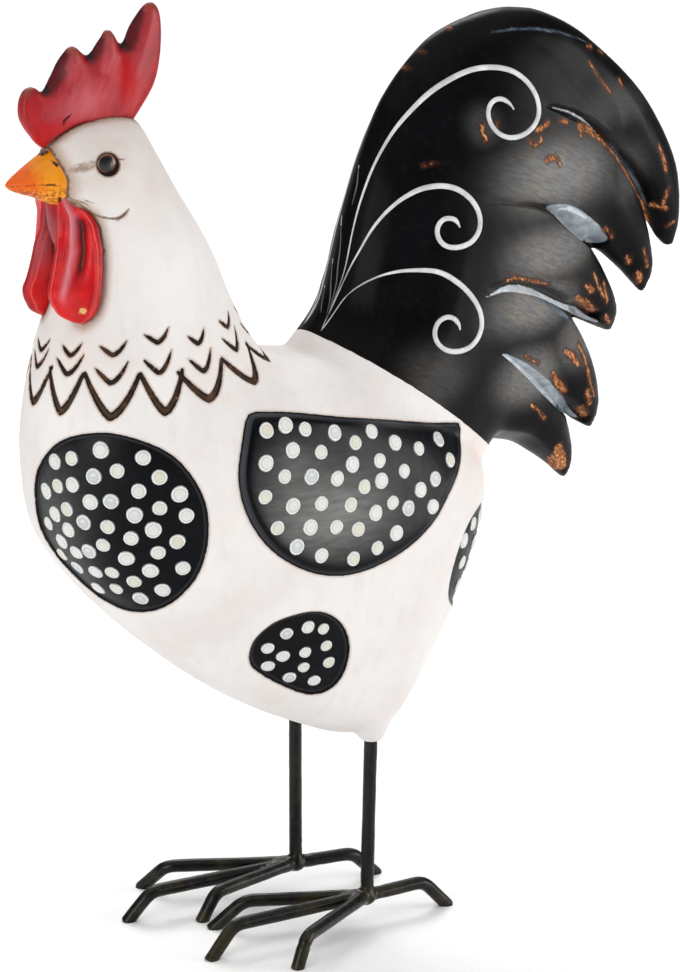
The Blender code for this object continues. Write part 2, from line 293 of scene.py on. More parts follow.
# upper edge y, z / lower edge y, z / half thickness, from inside the fan to the tip
FEATHERS = (
    ((60, 411, 72, 385, 12), (82, 420.5, 86, 384, 12.5), (107, 420.7, 103, 382, 13),
     (126.5, 413.5, 118, 378, 13), (143.5, 402.5, 131, 370, 12.5), (167, 381.8, 151, 353, 11.5),
     (183.5, 360, 166, 333, 10.3), (193.6, 338.5, 176, 316.5, 8.8), (196.1, 317, 184.8, 303.4, 6.2),
     (194.4, 300, 191, 298.5, 2.4)),
    ((96, 388, 86, 322, 22), (120, 378.5, 108, 317, 20), (148, 358.5, 130, 310, 17),
     (169.5, 327.5, 148.5, 302, 13), (179, 302, 162.5, 291, 8.5), (180.6, 290, 169, 284.5, 6.5),
     (177, 278.5, 175.2, 277.8, 1.8)),
    ((80, 339, 84, 286, 26), (109, 333, 104, 284, 22.5), (133, 315.5, 124, 276, 18.5),
     (150.5, 292, 141, 268, 13), (159, 274, 150, 264, 8), (158.3, 262.5, 156.8, 261, 1.8)),
    ((76, 297, 80, 252, 27), (103, 294.5, 101, 248, 23.5), (125, 279.5, 118, 235.5, 19.5),
     (141, 255.5, 132, 223.5, 14.4), (148.6, 232, 141, 217.8, 8.5), (147.5, 216.5, 146.2, 215, 1.8)),
    ((80, 268, 80, 218.5, 27), (105, 254.5, 99, 215, 23), (122, 236.5, 112, 207.5, 18),
     (131, 215, 123, 199.8, 11.5), (133.3, 203, 127.5, 195.5, 7.5), (132.6, 193, 131.4, 191.8, 1.8)),
)
# near face of a feather: across (+1 upper edge, -1 lower edge), thickness
FEATHER_FACE = (
    (1.0, 0.0), (0.97, 0.3), (0.88, 0.58), (0.7, 0.8), (0.4, 0.95), (0.05, 1.0), (-0.3, 0.96),
    (-0.62, 0.86), (-0.82, 0.5), (-0.96, 0.2), (-1.0, 0.0),
)
BOSSES = ((28.15, 5.1), (-29.6, -1.0))       # x, y of the uprights at the belly
BOSS_RINGS = ((89.6, 4.6), (90.8, 5.9), (94.5, 7.4), (102.0, 10.0))   # z, radius
# the tail's paint line is nearly level with this plane, which also parts the two pieces
TAIL_LINE = Vector((0.0, -11.8, 281.0))
TAIL_WAY = Vector((0.0, 0.71, 1.0)).normalized()
TAIL_START = -40                     # y of the saddle; the plane parts only what is behind it
FAR = 1e3                            # stands for any distance too long to matter
REACH = 8.0                          # distances are measured this far round a line


def resample(rows, count, spacing=4):
    """Smooth rows run through the given rows, evenly spread by section spacing."""
    rows = np.asarray(rows, float)
    steps = np.linalg.norm(np.diff(rows[:, :spacing], axis=0), axis=1) ** 0.5
    knots = np.r_[0.0, np.cumsum(steps)]
    last = len(rows) - 1
    after, before = np.r_[1:last + 1, last], np.r_[0, 0:last]
    slopes = (rows[after] - rows[before]) / (knots[after] - knots[before])[:, None]
    at = np.linspace(0.0, knots[-1], count)
    i = np.minimum(np.searchsorted(knots, at, side="right") - 1, last - 1)
    h = (knots[i + 1] - knots[i])[:, None]
    s = (at - knots[i])[:, None] / h
    start = (2 * s**3 - 3 * s**2 + 1) * rows[i] + (s**3 - 2 * s**2 + s) * h * slopes[i]
    return start + (3 * s**2 - 2 * s**3) * rows[i + 1] + (s**3 - s**2) * h * slopes[i + 1]


def loft(bm, table, sides, section):
    """Wrap a grid into a closed form: section(row, turn) is the point at turn 0 to 1."""
    rings = len(table) - 1
    grid = bmesh.ops.create_grid(bm, x_segments=sides, y_segments=rings, size=0.5)["verts"]
    for vert in grid:
        vert.co = section(table[round((vert.co.y + 0.5) * rings)], vert.co.x + 0.5)
    bmesh.ops.remove_doubles(bm, verts=grid, dist=1e-4)
    edges = {e for v in grid if v.is_valid for e in v.link_edges if e.is_boundary}
    bmesh.ops.holes_fill(bm, edges=list(edges))


def round_turn(turn):
    """Cosine and sine of a turn counted from 0 to 1."""
    return math.cos(2 * math.pi * turn), math.sin(2 * math.pi * turn)


def railed(row, across, out):
    """Point between a front rail (across 1) and a back rail (across -1), pushed out sideways."""
    y0, z0, y1, z1, half = row[:5]
    y = (y0 + y1) / 2 + (y0 - y1) / 2 * across
    z = (z0 + z1) / 2 + (z0 - z1) / 2 * across
    return Vector((half * out, y, z))


def round_section(row, turn):
    """Rounded section hung between a front and a back rail."""
    c, s = (math.copysign(abs(value) ** (2 / row[5]), value) for value in round_turn(turn))
    return railed(row, c, s)


def face_section(face):
    """Section of a blade: one face profile and its mirror image, between two edges."""
    face = np.asarray(face, float)
    run = np.r_[0.0, np.cumsum(np.linalg.norm(np.diff(face, axis=0), axis=1))]

    def section(row, turn):
        at = run[-1] * 2 * min(turn, 1 - turn)
        thick = np.interp(at, run, face[:, 1]) * (1 if turn <= 0.5 else -1)
        return railed(row, np.interp(at, run, face[:, 0]), thick)

    return section


def fuse(bm, voxel, passes):
    """Run overlapping closed forms into one skin and rub it smooth."""
    bmesh.ops.recalc_face_normals(bm, faces=bm.faces)
    forms = formed("forms", bm)
    remesh = forms.modifiers.new("fuse", "REMESH")
    remesh.mode = "VOXEL"
    remesh.voxel_size = voxel
    bpy.context.view_layer.update()
    graph = bpy.context.evaluated_depsgraph_get()
    skin = bmesh.new()
    skin.from_mesh(bpy.data.meshes.new_from_object(forms.evaluated_get(graph)))
    bpy.data.objects.remove(forms, do_unlink=True)
    rub(skin, skin.verts, passes)
    return skin


def rub(bm, verts, passes):
    """Smooth some vertices so many times over."""
    for _pass in range(passes):
        bmesh.ops.smooth_vert(bm, verts=verts, factor=0.5, use_axis_x=True, use_axis_y=True, use_axis_z=True)


def places(bm):
    return np.array([v.co[:] for v in bm.verts])


def facings(bm):
    bm.normal_update()
    return np.array([v.normal[:] for v in bm.verts])


def move(bm, where):
    for vert, co in zip(bm.verts, where):
        vert.co = co


def swell(bm, lift):
    """Push the surface out along its facing, by its own amount at every vertex."""
    move(bm, places(bm) + facings(bm) * lift[:, None])


def refine(bm, near):
    """Halve the faces around the vertices marked in near, and rub them round again."""
    bm.verts.ensure_lookup_table()
    edges = [e for e in bm.edges if near[e.verts[0].index] and near[e.verts[1].index]]
    before = len(bm.verts)
    bmesh.ops.subdivide_edges(bm, edges=edges, cuts=1, use_grid_fill=True)
    bm.verts.ensure_lookup_table()
    ring = {v for fresh in bm.verts[before:] for f in fresh.link_faces for v in f.verts}
    rub(bm, list(ring), 2)
    bm.verts.index_update()


def seal(bm):
    """Close the open rims of a cut mesh with flat faces and crisp edges."""
    rim = [e for e in bm.edges if e.is_boundary]
    for edge in rim:
        edge.smooth = False
    bmesh.ops.holes_fill(bm, edges=rim)


def rise(value, low, high):
    """0 at low, 1 at high and a smooth rise between."""
    t = np.clip((value - low) / (high - low), 0.0, 1.0)
    return t * t * (3 - 2 * t)


def bell(gap, width):
    """1 where the gap is 0, fading over a width."""
    return np.exp(-(gap / width) ** 2)


def soft_spot(across, up, y, z, reach_y, reach_z):
    """1 at y, z, fading away over a reach along each."""
    return np.exp(-(((across - y) / reach_y) ** 2 + ((up - z) / reach_z) ** 2))


def line_distance(points, line, half=None):
    """Distance of points from a run of 3-D points, less its half width; FAR well away from it."""
    line = np.asarray(line, float)
    half = np.zeros(len(line)) if half is None else half
    out = np.full(len(points), FAR)
    near = ((points > line.min(axis=0) - REACH) & (points < line.max(axis=0) + REACH)).all(axis=1)
    spots, best = points[near], out[near]
    for a, b, wa, wb in zip(line[:-1], line[1:], half[:-1], half[1:]):
        way = b - a
        t = np.clip((spots - a) @ way / max(way @ way, 1e-9), 0.0, 1.0)
        gap = np.linalg.norm(spots - a - t[:, None] * way, axis=1) - (wa + (wb - wa) * t)
        best = np.minimum(best, gap)
    out[near] = best
    return out


def rough_value(points, size, seed):
    """Soft uneven value of about -1 to 1 over the points, the same on every run."""
    return np.array([noise.noise(Vector(p) / size + Vector((seed, -seed, 2.0 * seed))) for p in points])


def boss_section(x, y):
    """Level round section about an upright rod."""
    def section(row, turn):
        c, s = round_turn(turn)
        return Vector((x + row[1] * c, y + row[1] * s, row[0]))

    return section


bm = bmesh.new()
loft(bm, resample(TRUNK, count=90), sides=80, section=round_section)
loft(bm, resample(FAN, count=60), sides=72, section=face_section(FAN_FACE))
for rows in FEATHERS:
    loft(bm, resample(rows, count=44), sides=48, section=face_section(FEATHER_FACE))
for x, y in BOSSES:
    loft(bm, BOSS_RINGS, sides=24, section=boss_section(x, y))
skin = fuse(bm, voxel=1.5, passes=3)


def part_skin(keep_tail):
    """Copy of the skin cut at the tail's paint line, keeping the tail or all the rest."""
    piece = skin.copy()
    near = {v for v in piece.verts if v.co.y > TAIL_START and abs((v.co - TAIL_LINE).dot(TAIL_WAY)) < 4}
    edges = {e for v in near for e in v.link_edges}
    faces = {f for v in near for f in v.link_faces}
    bmesh.ops.bisect_plane(piece, geom=[*near, *edges, *faces], dist=1e-5,
                           plane_co=TAIL_LINE, plane_no=TAIL_WAY)
    gone = []
    for face in piece.faces:
        middle = face.calc_center_median()
        in_tail = middle.y > TAIL_START and (middle - TAIL_LINE).dot(TAIL_WAY) > 0
        if in_tail != keep_tail:
            gone.append(face)
    bmesh.ops.delete(piece, geom=gone, context="FACES")
    seal(piece)
    return piece


def settle(name, bm, finish, marks=None, replaced="resin_rooster", slot="painted_resin"):
    """Move a finished mesh into the frame as a piece that rides on the figure."""
    for face in bm.faces:
        face.smooth = True
    piece = formed(name, bm)
    for mark, values in (marks or {}).items():
        stored = piece.data.attributes.new(mark, "FLOAT", "POINT")
        stored.data.foreach_set("value", np.asarray(values, np.float32))
    piece.data.transform(Matrix.Translation(PLACE) @ Matrix.Scale(MM, 4))
    piece.data.materials.append(finish)
    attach(piece, "root")
    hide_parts(replaced)


# ---- white body with its painted patches and collar ----
# The body and neck are sprayed warm white over the resin and antiqued with a thin
# brown wash. Patches and collar strokes are cut into the form and painted black.
BREAST_AXIS = -90.0                  # y of the upright axes that turns are counted about
REAR_AXIS = 20.0
NECK_AXIS = -97.0
# patches: (turn about an upright axis in degrees, height) or (y, height) on the flank
BREAST = (
    (-5, 212), (-1, 229), (8, 243), (20, 253), (38, 257), (57, 252), (70, 243), (80, 226), (82, 206),
    (77, 188), (64, 175), (46, 170), (26, 170.5), (8, 178), (-3, 194),
)
WING = (
    (-78.5, 258), (-76, 261), (-71, 261.5), (-53, 259), (-34, 255), (-5, 249), (26, 242), (42, 239.2),
    (46, 238), (47.3, 234.5), (46.4, 230), (41, 220.5), (31, 210), (21, 200), (7, 191), (-9, 185),
    (-28, 182), (-45, 185), (-59, 192), (-70, 201), (-78, 212), (-83, 224), (-84.5, 236), (-82, 248),
)
BELLY = (
    (-49, 167), (-38, 165), (-29, 158), (-23.5, 147), (-23, 136), (-26, 127), (-32, 122.5), (-40, 123),
    (-50, 128), (-60, 134), (-68, 141), (-71, 149), (-70, 157), (-63, 164),
)
REAR = (
    (107, 169), (109.5, 181), (117, 192), (130, 198), (145, 198.5), (160, 194), (169, 182), (169, 168),
    (160, 157), (145, 151), (130, 150), (117, 153), (108.5, 159.5),
)
SMALL_BREAST = (
    (-77, 214), (-73, 231), (-62, 243), (-49, 247), (-36, 242), (-27, 229), (-23, 212), (-26, 195),
    (-36, 183), (-50, 179), (-65, 184), (-74, 197),
)
# the axis a patch is set out from (None for the flank), its outline and its side, wings first
PATCHES = (
    (None, WING, 1), (None, WING, -1), (None, BELLY, 1), (None, BELLY, -1), (REAR_AXIS, REAR, 1),
    (REAR_AXIS, REAR, -1), (BREAST_AXIS, BREAST, 1), (BREAST_AXIS, SMALL_BREAST, 1),
)
# collar: middle of each pair of strokes in degrees, half span, height of its foot,
# foot of the low small mark and foot of the high small mark
COLLAR = (
    (-6, 13, 264.3, 279.8, 287.2), (18, 11, 263.9, 280.4, 288.5), (43, 14, 263.7, 278.3, 290.1),
    (69, 12, 265.5, 282.0, 294.8), (95, 15, 269.1, 280.6, 292.3), (124, 14, 272.7, 286.4, 296.4),
    (152, 14, 277.5, 289.0, 298.5), (179, 13, 279.0, 291.0, 300.0), (-156, 12, 277.0, 288.5, 298.0),
    (-131, 13, 273.5, 286.0, 297.0), (-106, 12, 270.0, 283.0, 294.0), (-81, 13, 267.0, 281.5, 293.0),
    (-56, 12, 265.0, 279.5, 291.0), (-31, 12, 264.0, 280.0, 288.0),
)
SWAYS = (0.6, -0.8, 0.3, 1.0, -0.5, 0.2, -1.0)      # unevenness of the hand, stroke by stroke
EYE_SPOT = (-126.6, 372.4)           # y, z of the eye on the side of the head
# lines of dark wash on the side of the head: y, z, half width
CHEEK = (
    (-142.5, 358.4, 0.3), (-138.1, 354.7, 0.5), (-133.7, 350.8, 0.5), (-128, 349, 0.45),
    (-122.9, 349.3, 0.6), (-118.6, 353, 0.1),
)
FACE_LINES = (
    CHEEK,
    ((-141.6, 357, 0.1), (-138.5, 356.6, 0.35), (-135, 354.6, 0.1)),
    ((-138.5, 358.5, 0.0), (-136, 356.8, 0.25), (-132.5, 355.6, 0.0)),
    ((-133.2, 373.0, 0.1), (-131.5, 373.6, 0.3), (-130.6, 374, 0.1)),
    ((-122, 374.3, 0.35), (-119.5, 373.8, 0.3), (-117.2, 373.9, 0.0)),
)
FACE_SMUDGES = (
    ((-141.6, 370.2, 0.7), (-138, 370.8, 1.1), (-134.5, 371.4, 0.7), (-131.5, 372.6, 0.3)),
    ((-139.8, 372.2, 0.1), (-136, 373, 0.5), (-132.8, 373.8, 0.2)),
    ((-125, 347.9, 0.0), (-121.5, 350.3, 0.9), (-119.5, 352.4, 0.2)),
)

body = part_skin(keep_tail=False)
body_tree = BVHTree.FromBMesh(body)


def outward(axis_y, turn, height):
    """Point of the body seen from an upright axis, turn in degrees from the breast."""
    way = Vector((math.sin(math.radians(turn)), -math.cos(math.radians(turn)), 0.0))
    return body_tree.ray_cast(Vector((0.0, axis_y, height)), way)[0]


def sideways(side, y, z):
    """Point of the body's flank straight across from the middle plane."""
    return body_tree.ray_cast(Vector((side * 200.0, y, z)), Vector((-side, 0.0, 0.0)))[0]


def closed_curve(points, count):
    """Even smooth closed curve through a few points."""
    ring = [points[-2], points[-1], *points, points[0], points[1]]
    dense = resample(ring, 12 * len(ring), spacing=2)
    gap = np.hypot(*(dense - points[0]).T)
    third, half = len(dense) // 3, len(dense) // 2
    dense = dense[np.argmin(gap[:third]):half + np.argmin(gap[half:]) + 1]
    run = np.r_[0.0, np.cumsum(np.linalg.norm(np.diff(dense, axis=0), axis=1))]
    at = np.linspace(0.0, run[-1], count, endpoint=False)
    return np.stack([np.interp(at, run, dense[:, k]) for k in (0, 1)], axis=1)


def inside(points, ring):
    """Which flat points lie inside a closed ring."""
    hit = np.zeros(len(points), bool)
    for (ax, ay), (bx, by) in zip(ring, np.roll(ring, -1, axis=0)):
        if ay != by:
            crosses = (ay > points[:, 1]) != (by > points[:, 1])
            hit ^= crosses & (points[:, 0] < ax + (points[:, 1] - ay) * (bx - ax) / (by - ay))
    return hit


def edge_distance(points, edge, spots, ring):
    """Distance from a closed edge, less than 0 where the flat spots lie inside its flat ring."""
    gap = line_distance(points, [*edge, edge[0]])
    return np.where(inside(spots, ring) & (gap < FAR), -gap, gap)


def patch_distance(points, axis_y, outline, side):
    """Distance from a patch's edge over the body, less than 0 inside the patch."""
    ring = closed_curve(outline, 90)
    if axis_y is None:
        return edge_distance(points, [sideways(side, y, z) for y, z in ring], points[:, 1:], ring)
    turns = side * np.degrees(np.arctan2(points[:, 0], axis_y - points[:, 1]))
    edge = [outward(axis_y, side * turn, z) for turn, z in ring]
    return edge_distance(points, edge, np.stack([turns, points[:, 2]], axis=1), ring)


def patch_marks(points):
    """Distance from the nearest wing edge and from the nearest edge of the other patches."""
    gaps = [patch_distance(points, *patch) for patch in PATCHES]
    return np.min(gaps[:2], axis=0), np.min(gaps[2:], axis=0)


STROKE_STEPS = np.linspace(-1.0, 1.0, 13)             # from one end of a stroke to the other
TAPER = np.sqrt(np.clip(1.04 - STROKE_STEPS**2, 0, 1))


def mark_line(middle, span, foot, tops):
    """A hand-cut V on the neck, its foot a little round, as points on the skin."""
    out = []
    for t, top in zip(STROKE_STEPS, tops):
        lift = abs(t) ** (1.25 if t < 0 else 1.6)
        out.append(outward(NECK_AXIS, middle + span * t, foot + (top - foot) * lift))
    return np.array(out)


strokes = []
for k, (middle, span, foot, low, high) in enumerate(COLLAR):
    sway = SWAYS[k % len(SWAYS)]
    tops = 281.5 + 6.0 * rise(abs(middle + 13 * STROKE_STEPS), 75.0, 150.0) + sway * 0.5
    low_tops, high_tops = low + 7.6 + 1.6 * STROKE_STEPS, high + 4.9 + 1.2 * STROKE_STEPS
    strokes += [
        (mark_line(middle + sway, span, foot, tops), 1.75 - 0.85 * abs(STROKE_STEPS) ** 1.5),
        (mark_line(middle - sway, 8.6, low, low_tops), 1.15 * TAPER - 0.08),
        (mark_line(middle - sway, 7.2 + 0.8 * sway, high, high_tops), 1.1 * TAPER - 0.08),
    ]


def stroke_distance(points):
    """Distance from the nearest stroke of the collar, less its half width."""
    return np.min([line_distance(points, *stroke) for stroke in strokes], axis=0)


def face_distance(points, lines):
    """Distance from any of the lines on either side of the head, less their half width."""
    gaps = []
    for rows in [resample(rows, 14, spacing=2) for rows in lines]:
        for side in (1, -1):
            gaps.append(line_distance(points, [sideways(side, y, z) for y, z, _half in rows], rows[:, 2]))
    return np.min(gaps, axis=0)


def eye_distance(points):
    """Distance from the middle of the nearer eye."""
    spots = [np.array(sideways(side, *EYE_SPOT)) for side in (1, -1)]
    return np.min([np.linalg.norm(points - spot, axis=1) for spot in spots], axis=0)


# the feet of the strokes and the patch edges need finer faces than the open body
points = places(body)
edge = np.minimum(*patch_marks(points))
fine_lines = np.minimum(stroke_distance(points), face_distance(points, FACE_LINES))
refine(body, (np.abs(edge) < 1.9) | (fine_lines < 1.0) | (eye_distance(points) < 8.0))

points = places(body)
wing, flush = patch_marks(points)
edge = np.minimum(wing, flush)
stroke, eyes = stroke_distance(points), eye_distance(points)
crease = face_distance(points, [CHEEK])
side_y, side_z = points[:, 1], points[:, 2]
# the wing stands proud at its front and foot and sinks in level at its top and rear
foot = rise(-side_z, -215.0, -185.0)
proud = np.maximum(rise(-side_y, -10.0, 75.0), 0.75 * foot * rise(-side_y, -45.0, 10.0))
lift = rise(-wing, -0.3, 4.2) * (2.7 * proud - 0.8 * (1 - proud))
lift -= 1.1 * rise(-flush, -0.2, 0.9)
lift += 0.3 * bell(edge - 1.0, 1.0)
lift -= 0.85 * rise(-stroke, -0.35, 0.75)
lift += 0.3 * bell(eyes - 6.0, 0.7) - 1.2 * rise(-eyes, -5.4, -4.2)
lift -= 0.5 * bell(np.maximum(crease, 0), 0.9)
lift += 0.22 * rough_value(points, size=16.0, seed=3.0) + 0.06 * rough_value(points, size=4.0, seed=5.0)
swell(body, lift)

body_finish, at = new_finish("white_antiqued_resin")
patch_edge = at.uneven("patch", 0.5, 2.5, shift=5.0)
cut = at.uneven("stroke", 0.55, 1.4, shift=9.0)
tail_edge = at.uneven("tail_line", 1.6, 9.0, shift=2.0)
meet = at.uneven("meet", 1.6, 1.8, 3.0, shift=15.0)
wide = at.grain(42.0, 3.0, 0.55)
brushed = at.grain(5.0, 4.0, 0.6, stretch=(1, 1, 5), shift=7.0)
fine = at.grain(1.1, 3.0, 0.6)
blush = at.grain(24.0, 2.0, shift=13.0).between(0.55, 0.78) * 0.4 + at.mark("blush") * at.grain(6.0, 3.0)
dust = at.mark("dust") * (0.35 + 0.9 * at.grain(8.0, 4.0, 0.6, stretch=(1, 2, 1), shift=18.0))
smear = at.uneven("smudge", 1.8, 1.6, 4.0, 0.7, stretch=(1, 3, 1)).below(-0.9, 1.1)
line = at.uneven("wrinkle", 0.7, 1.2, 3.0, 0.6, shift=11.0).below(-0.2, 0.35)
socket = at.uneven("eye", 0.8, 1.5, 3.0, shift=1.0).below(5.4, 6.4)
lid = at.uneven("eye", 0.3, 1.2, 3.0, shift=6.0).below(5.15, 5.45)
white = coats(
    wide.between(0.35, 0.68).over((231, 228, 225), (224, 218, 215)),
    (brushed.between(0.5, 0.75) * 0.35, (216, 208, 203)),
    (blush.held(), (228, 206, 194)),
    (dust.held(), (196, 180, 170)),
    (smear * 0.8, (124, 92, 66)),
    (line * 0.85, (98, 62, 38)),
    (socket * 0.8, (140, 104, 82)),
    (lid, (34, 22, 18)),
    # where the comb, beak and wattles meet the head: partly antiquing wash and partly painted shadow
    (meet.below(0.6, 5.6) * 0.7, (160, 128, 100)),
    (meet.below(0.3, 1.5) * 0.8, (74, 46, 32)),
)
ink = coats(
    at.grain(6.0, 3.0, shift=4.0).between(0.5, 0.72).over((36, 28, 26), (84, 58, 42)),
    (at.grain(3.2, 2.0, shift=21.0).between(0.66, 0.74) * 0.7, (150, 100, 62)),
    (cut.below(-1.25, -0.7) * 0.48, (90, 68, 46)),
)
swept = at.grain(2.2, 4.0, 0.65, stretch=(1, 5, 1), shift=12.0)
# grey on the wing and the left of the breast: partly rubbed paint and partly a painted sheen
rubbed = at.mark("rubbed") * (0.25 + swept * 0.9)
inset = at.uneven("bevel", 0.5, 5.0, shift=8.0)
sheen = inset.between(0.4, 0.9) * inset.below(2.4, 3.2) * at.mark("proud")
# the grey line inside the patch edges is a painted highlight on the recess wall, and the grey band on the
# wing's proud bevel is a painted reflection
black = coats(
    (swept.between(0.45, 0.75) * 0.5).over((7, 8, 12), (20, 21, 27)),
    (rubbed.held(), (122, 121, 119)),
    (patch_edge.near(-1.4, 0.15, 0.6) * 0.22, (90, 92, 96)),
    (sheen * 0.6, (66, 67, 72)),
    (inset.near(3.9, 0.3, 1.0) * at.mark("proud"), (8, 8, 10)),
)
patch = patch_edge.below(-0.12, 0.14).most(tail_edge.below(-0.15, 0.15))
painted = coats(
    white,
    (cut.below(0.0, 1.2) * 0.6, (164, 128, 102)),
    (cut.below(-0.12, 0.18), ink),
    (patch_edge.below(0.1, 1.3) * 0.45, (172, 144, 128)),
    (patch, black),
)
gloss = 0.5 + wide * 0.1 - patch * (0.3 - 0.1 * swept) + fine * 0.05
relief = brushed * 0.10 + fine * 0.035 + at.grain(0.5) * 0.012
close_finish(body_finish, painted, gloss, relief, specular_ior_level=0.1)

turns = np.degrees(np.arctan2(points[:, 0], BREAST_AXIS - side_y))
# soft spots of painted sheen, with some rubbed paint, on the wing and the left of the breast
wing_wear_and_painted_sheen = 0.55 * soft_spot(side_y, side_z, -50, 217, 34, 22)
wing_wear_and_painted_sheen += 0.95 * soft_spot(side_y, side_z, -33, 210, 29, 16)
wing_wear_and_painted_sheen += 0.45 * soft_spot(side_y, side_z, -59, 236, 12, 12)
breast_wear_and_painted_sheen = 0.45 * soft_spot(turns, side_z, 12, 214, 15, 32)
tail_gap = (points - np.array(TAIL_LINE)) @ -np.array(TAIL_WAY)
body_marks = {
    "rubbed": wing_wear_and_painted_sheen * rise(-wing, 3.0, 9.0) + breast_wear_and_painted_sheen * rise(-flush, 1.0, 5.0),
    "patch": edge,
    "stroke": stroke,
    "tail_line": np.where(side_y > TAIL_START, tail_gap, FAR),
    "dust": 0.5 * rise(side_z, 330.0, 378.0) + 0.2 * rise(-eyes, -20.0, -6.0),
    "smudge": face_distance(points, FACE_SMUDGES),
    "wrinkle": face_distance(points, FACE_LINES),
    "eye": eyes,
    "bevel": -wing,
    "blush": 0.9 * soft_spot(side_y, side_z, 60, 222, 11, 16),
    "proud": proud * rise(-wing, -0.5, 0.5) * rise(side_z, 178.0, 222.0),
}


# ---- eyes ----
# Glossy enamel domes in shallow sockets: a black pupil set a little forward and up in
# an orange-brown iris with a dark outline.
EYE_RADIUS, EYE_HEIGHT, EYE_SINK = 5.2, 2.7, 1.2
PUPIL_SPOT = (0.0, -0.45, 0.2)       # from the middle of the dome

body_tree = BVHTree.FromBMesh(body)


def turned(bm, where, way, rows, sides, sag=0.0):
    """Round form turned about an axis: rows are radius and height along it; sag makes it uneven."""
    way = Vector(way).normalized()
    along = way.cross(Vector((0, 0, 1))).normalized()
    over = along.cross(way)

    def section(row, turn):
        angle = 2 * math.pi * turn
        wave = 1 + sag * math.sin(2 * angle + where[1]) + sag * math.sin(3 * angle + where[2])
        out = along * math.cos(angle) + over * math.sin(angle)
        return Vector(where) + out * (row[0] * wave) + way * row[1]

    loft(bm, rows, sides, section)


eye_finish, at = new_finish("eye_enamel")
spread = at.uneven("spread", 0.3, 2.0, shift=3.0)
pupil = at.uneven("pupil", 0.15, 1.5)
iris = at.grain(1.2, 3.0).between(0.3, 0.7).over((142, 74, 42), (98, 50, 30))
iris = coats(
    iris, (spread.between(4.25, 4.6), (30, 18, 15)), (pupil.below(3.3, 4.0), (40, 22, 16)),
    (pupil.below(3.1, 3.45), (7, 7, 9)))
close_finish(eye_finish, iris, 0.3 + pupil.between(3.0, 4.4) * 0.2, at.grain(1.0) * 0.02, coat_weight=0.25)

dome = [(EYE_RADIUS * math.sin(a), EYE_HEIGHT * math.cos(a) - EYE_SINK) for a in np.linspace(0.0005, 1.9, 18)]
for side, name in ((1, "eye_left"), (-1, "eye_right")):
    spot = sideways(side, *EYE_SPOT)
    facing = Vector((side, -0.1, 0.03)).normalized()
    bm = bmesh.new()
    turned(bm, spot, facing, dome, sides=32)
    bmesh.ops.recalc_face_normals(bm, faces=bm.faces)
    flat = places(bm) - np.array(spot)
    flat -= np.outer(flat @ np.array(facing), facing)
    settle(name, bm, eye_finish, {
        "spread": np.linalg.norm(flat, axis=1), "pupil": np.linalg.norm(flat - PUPIL_SPOT, axis=1)})


# ---- raised dots ----
# Thick drops of white paint set by hand on the black patches, each a low uneven button
# with a bright raised rim and a thin grey ring inside it. The right side repeats the
# left; the small breast patch has the dots of the other one drawn closer together.
DOT_RADIUS = 3.75
DOT_GAP = 7.6                        # dots nearer than this to an earlier one are left out
BELLY_TOP, BELLY_DOT = 162, 0.84     # dots below this height are smaller by this much
DOT_HEIGHT = 0.85
# a dot from its middle out: radius and height, as parts of the whole
DOT_ROWS = ((0.01, 0.8), (0.4, 0.84), (0.66, 1.0), (0.88, 0.66), (1.0, -0.1), (0.92, -1.0))
WING_DOTS = (
    (-70, 254), (-60, 255), (-50, 252), (-34, 248), (-12, 245), (-23, 242), (1, 238), (15, 233), (30, 234),
    (-58, 244), (-43, 241), (-26, 233), (-10, 232), (35, 224), (-72, 240), (-63, 233), (-49, 231),
    (-35, 228), (-20, 222), (-10, 223), (4, 225), (23, 218), (13, 215), (-73, 225), (-59, 219), (-44, 218),
    (-28, 215), (-14, 209), (-4, 212), (5, 208), (20, 206), (-67, 210), (-50, 208), (-36, 206), (-24, 203),
    (-3, 198), (-14, 193), (-57, 200), (-44, 194), (-27, 190),
)
BELLY_DOTS = (
    (-46, 159), (-38, 157), (-56, 157), (-63, 150), (-35, 148), (-55, 145), (-45, 146), (-32, 139),
    (-60, 140), (-44, 138), (-49, 133), (-37, 130),
)
REAR_DOTS = (
    (126, 190.5), (116.5, 184.5), (120, 173), (138, 191), (151, 191), (161, 185), (134, 180), (147, 179),
    (158, 173), (124, 161), (134, 169), (150, 167), (142, 158), (156, 161),
)
BREAST_DOTS = (
    (13, 241), (22, 244), (35, 249), (53, 246), (60, 237), (69, 229), (42, 240), (32, 237), (22, 232),
    (14, 230), (6, 226), (51, 231), (39, 226), (30, 225), (60, 223), (49, 220), (72, 219), (18, 220),
    (10, 216), (3, 210), (26, 215), (17, 210), (37, 214), (57, 213), (47, 209), (68, 207), (10, 203),
    (34, 205), (26, 201), (18, 199), (4, 195), (44, 199), (59, 202), (12, 190), (25, 190), (35, 191),
    (55, 193), (71, 194), (46, 187), (19, 180), (34, 182), (48, 178), (61, 183),
)


def dot_spots():
    """Where every dot sits on the body."""
    for side in (1, -1):
        for y, z in WING_DOTS + BELLY_DOTS:
            yield sideways(side, y, z)
        for turn, z in REAR_DOTS:
            yield outward(REAR_AXIS, side * turn, z)
    for turn, z in BREAST_DOTS:
        yield outward(BREAST_AXIS, turn, z)
    for turn, z in BREAST_DOTS:
        yield outward(BREAST_AXIS, 0.62 * (turn - 38) - 50, 0.8 * (z - 213) + 213)


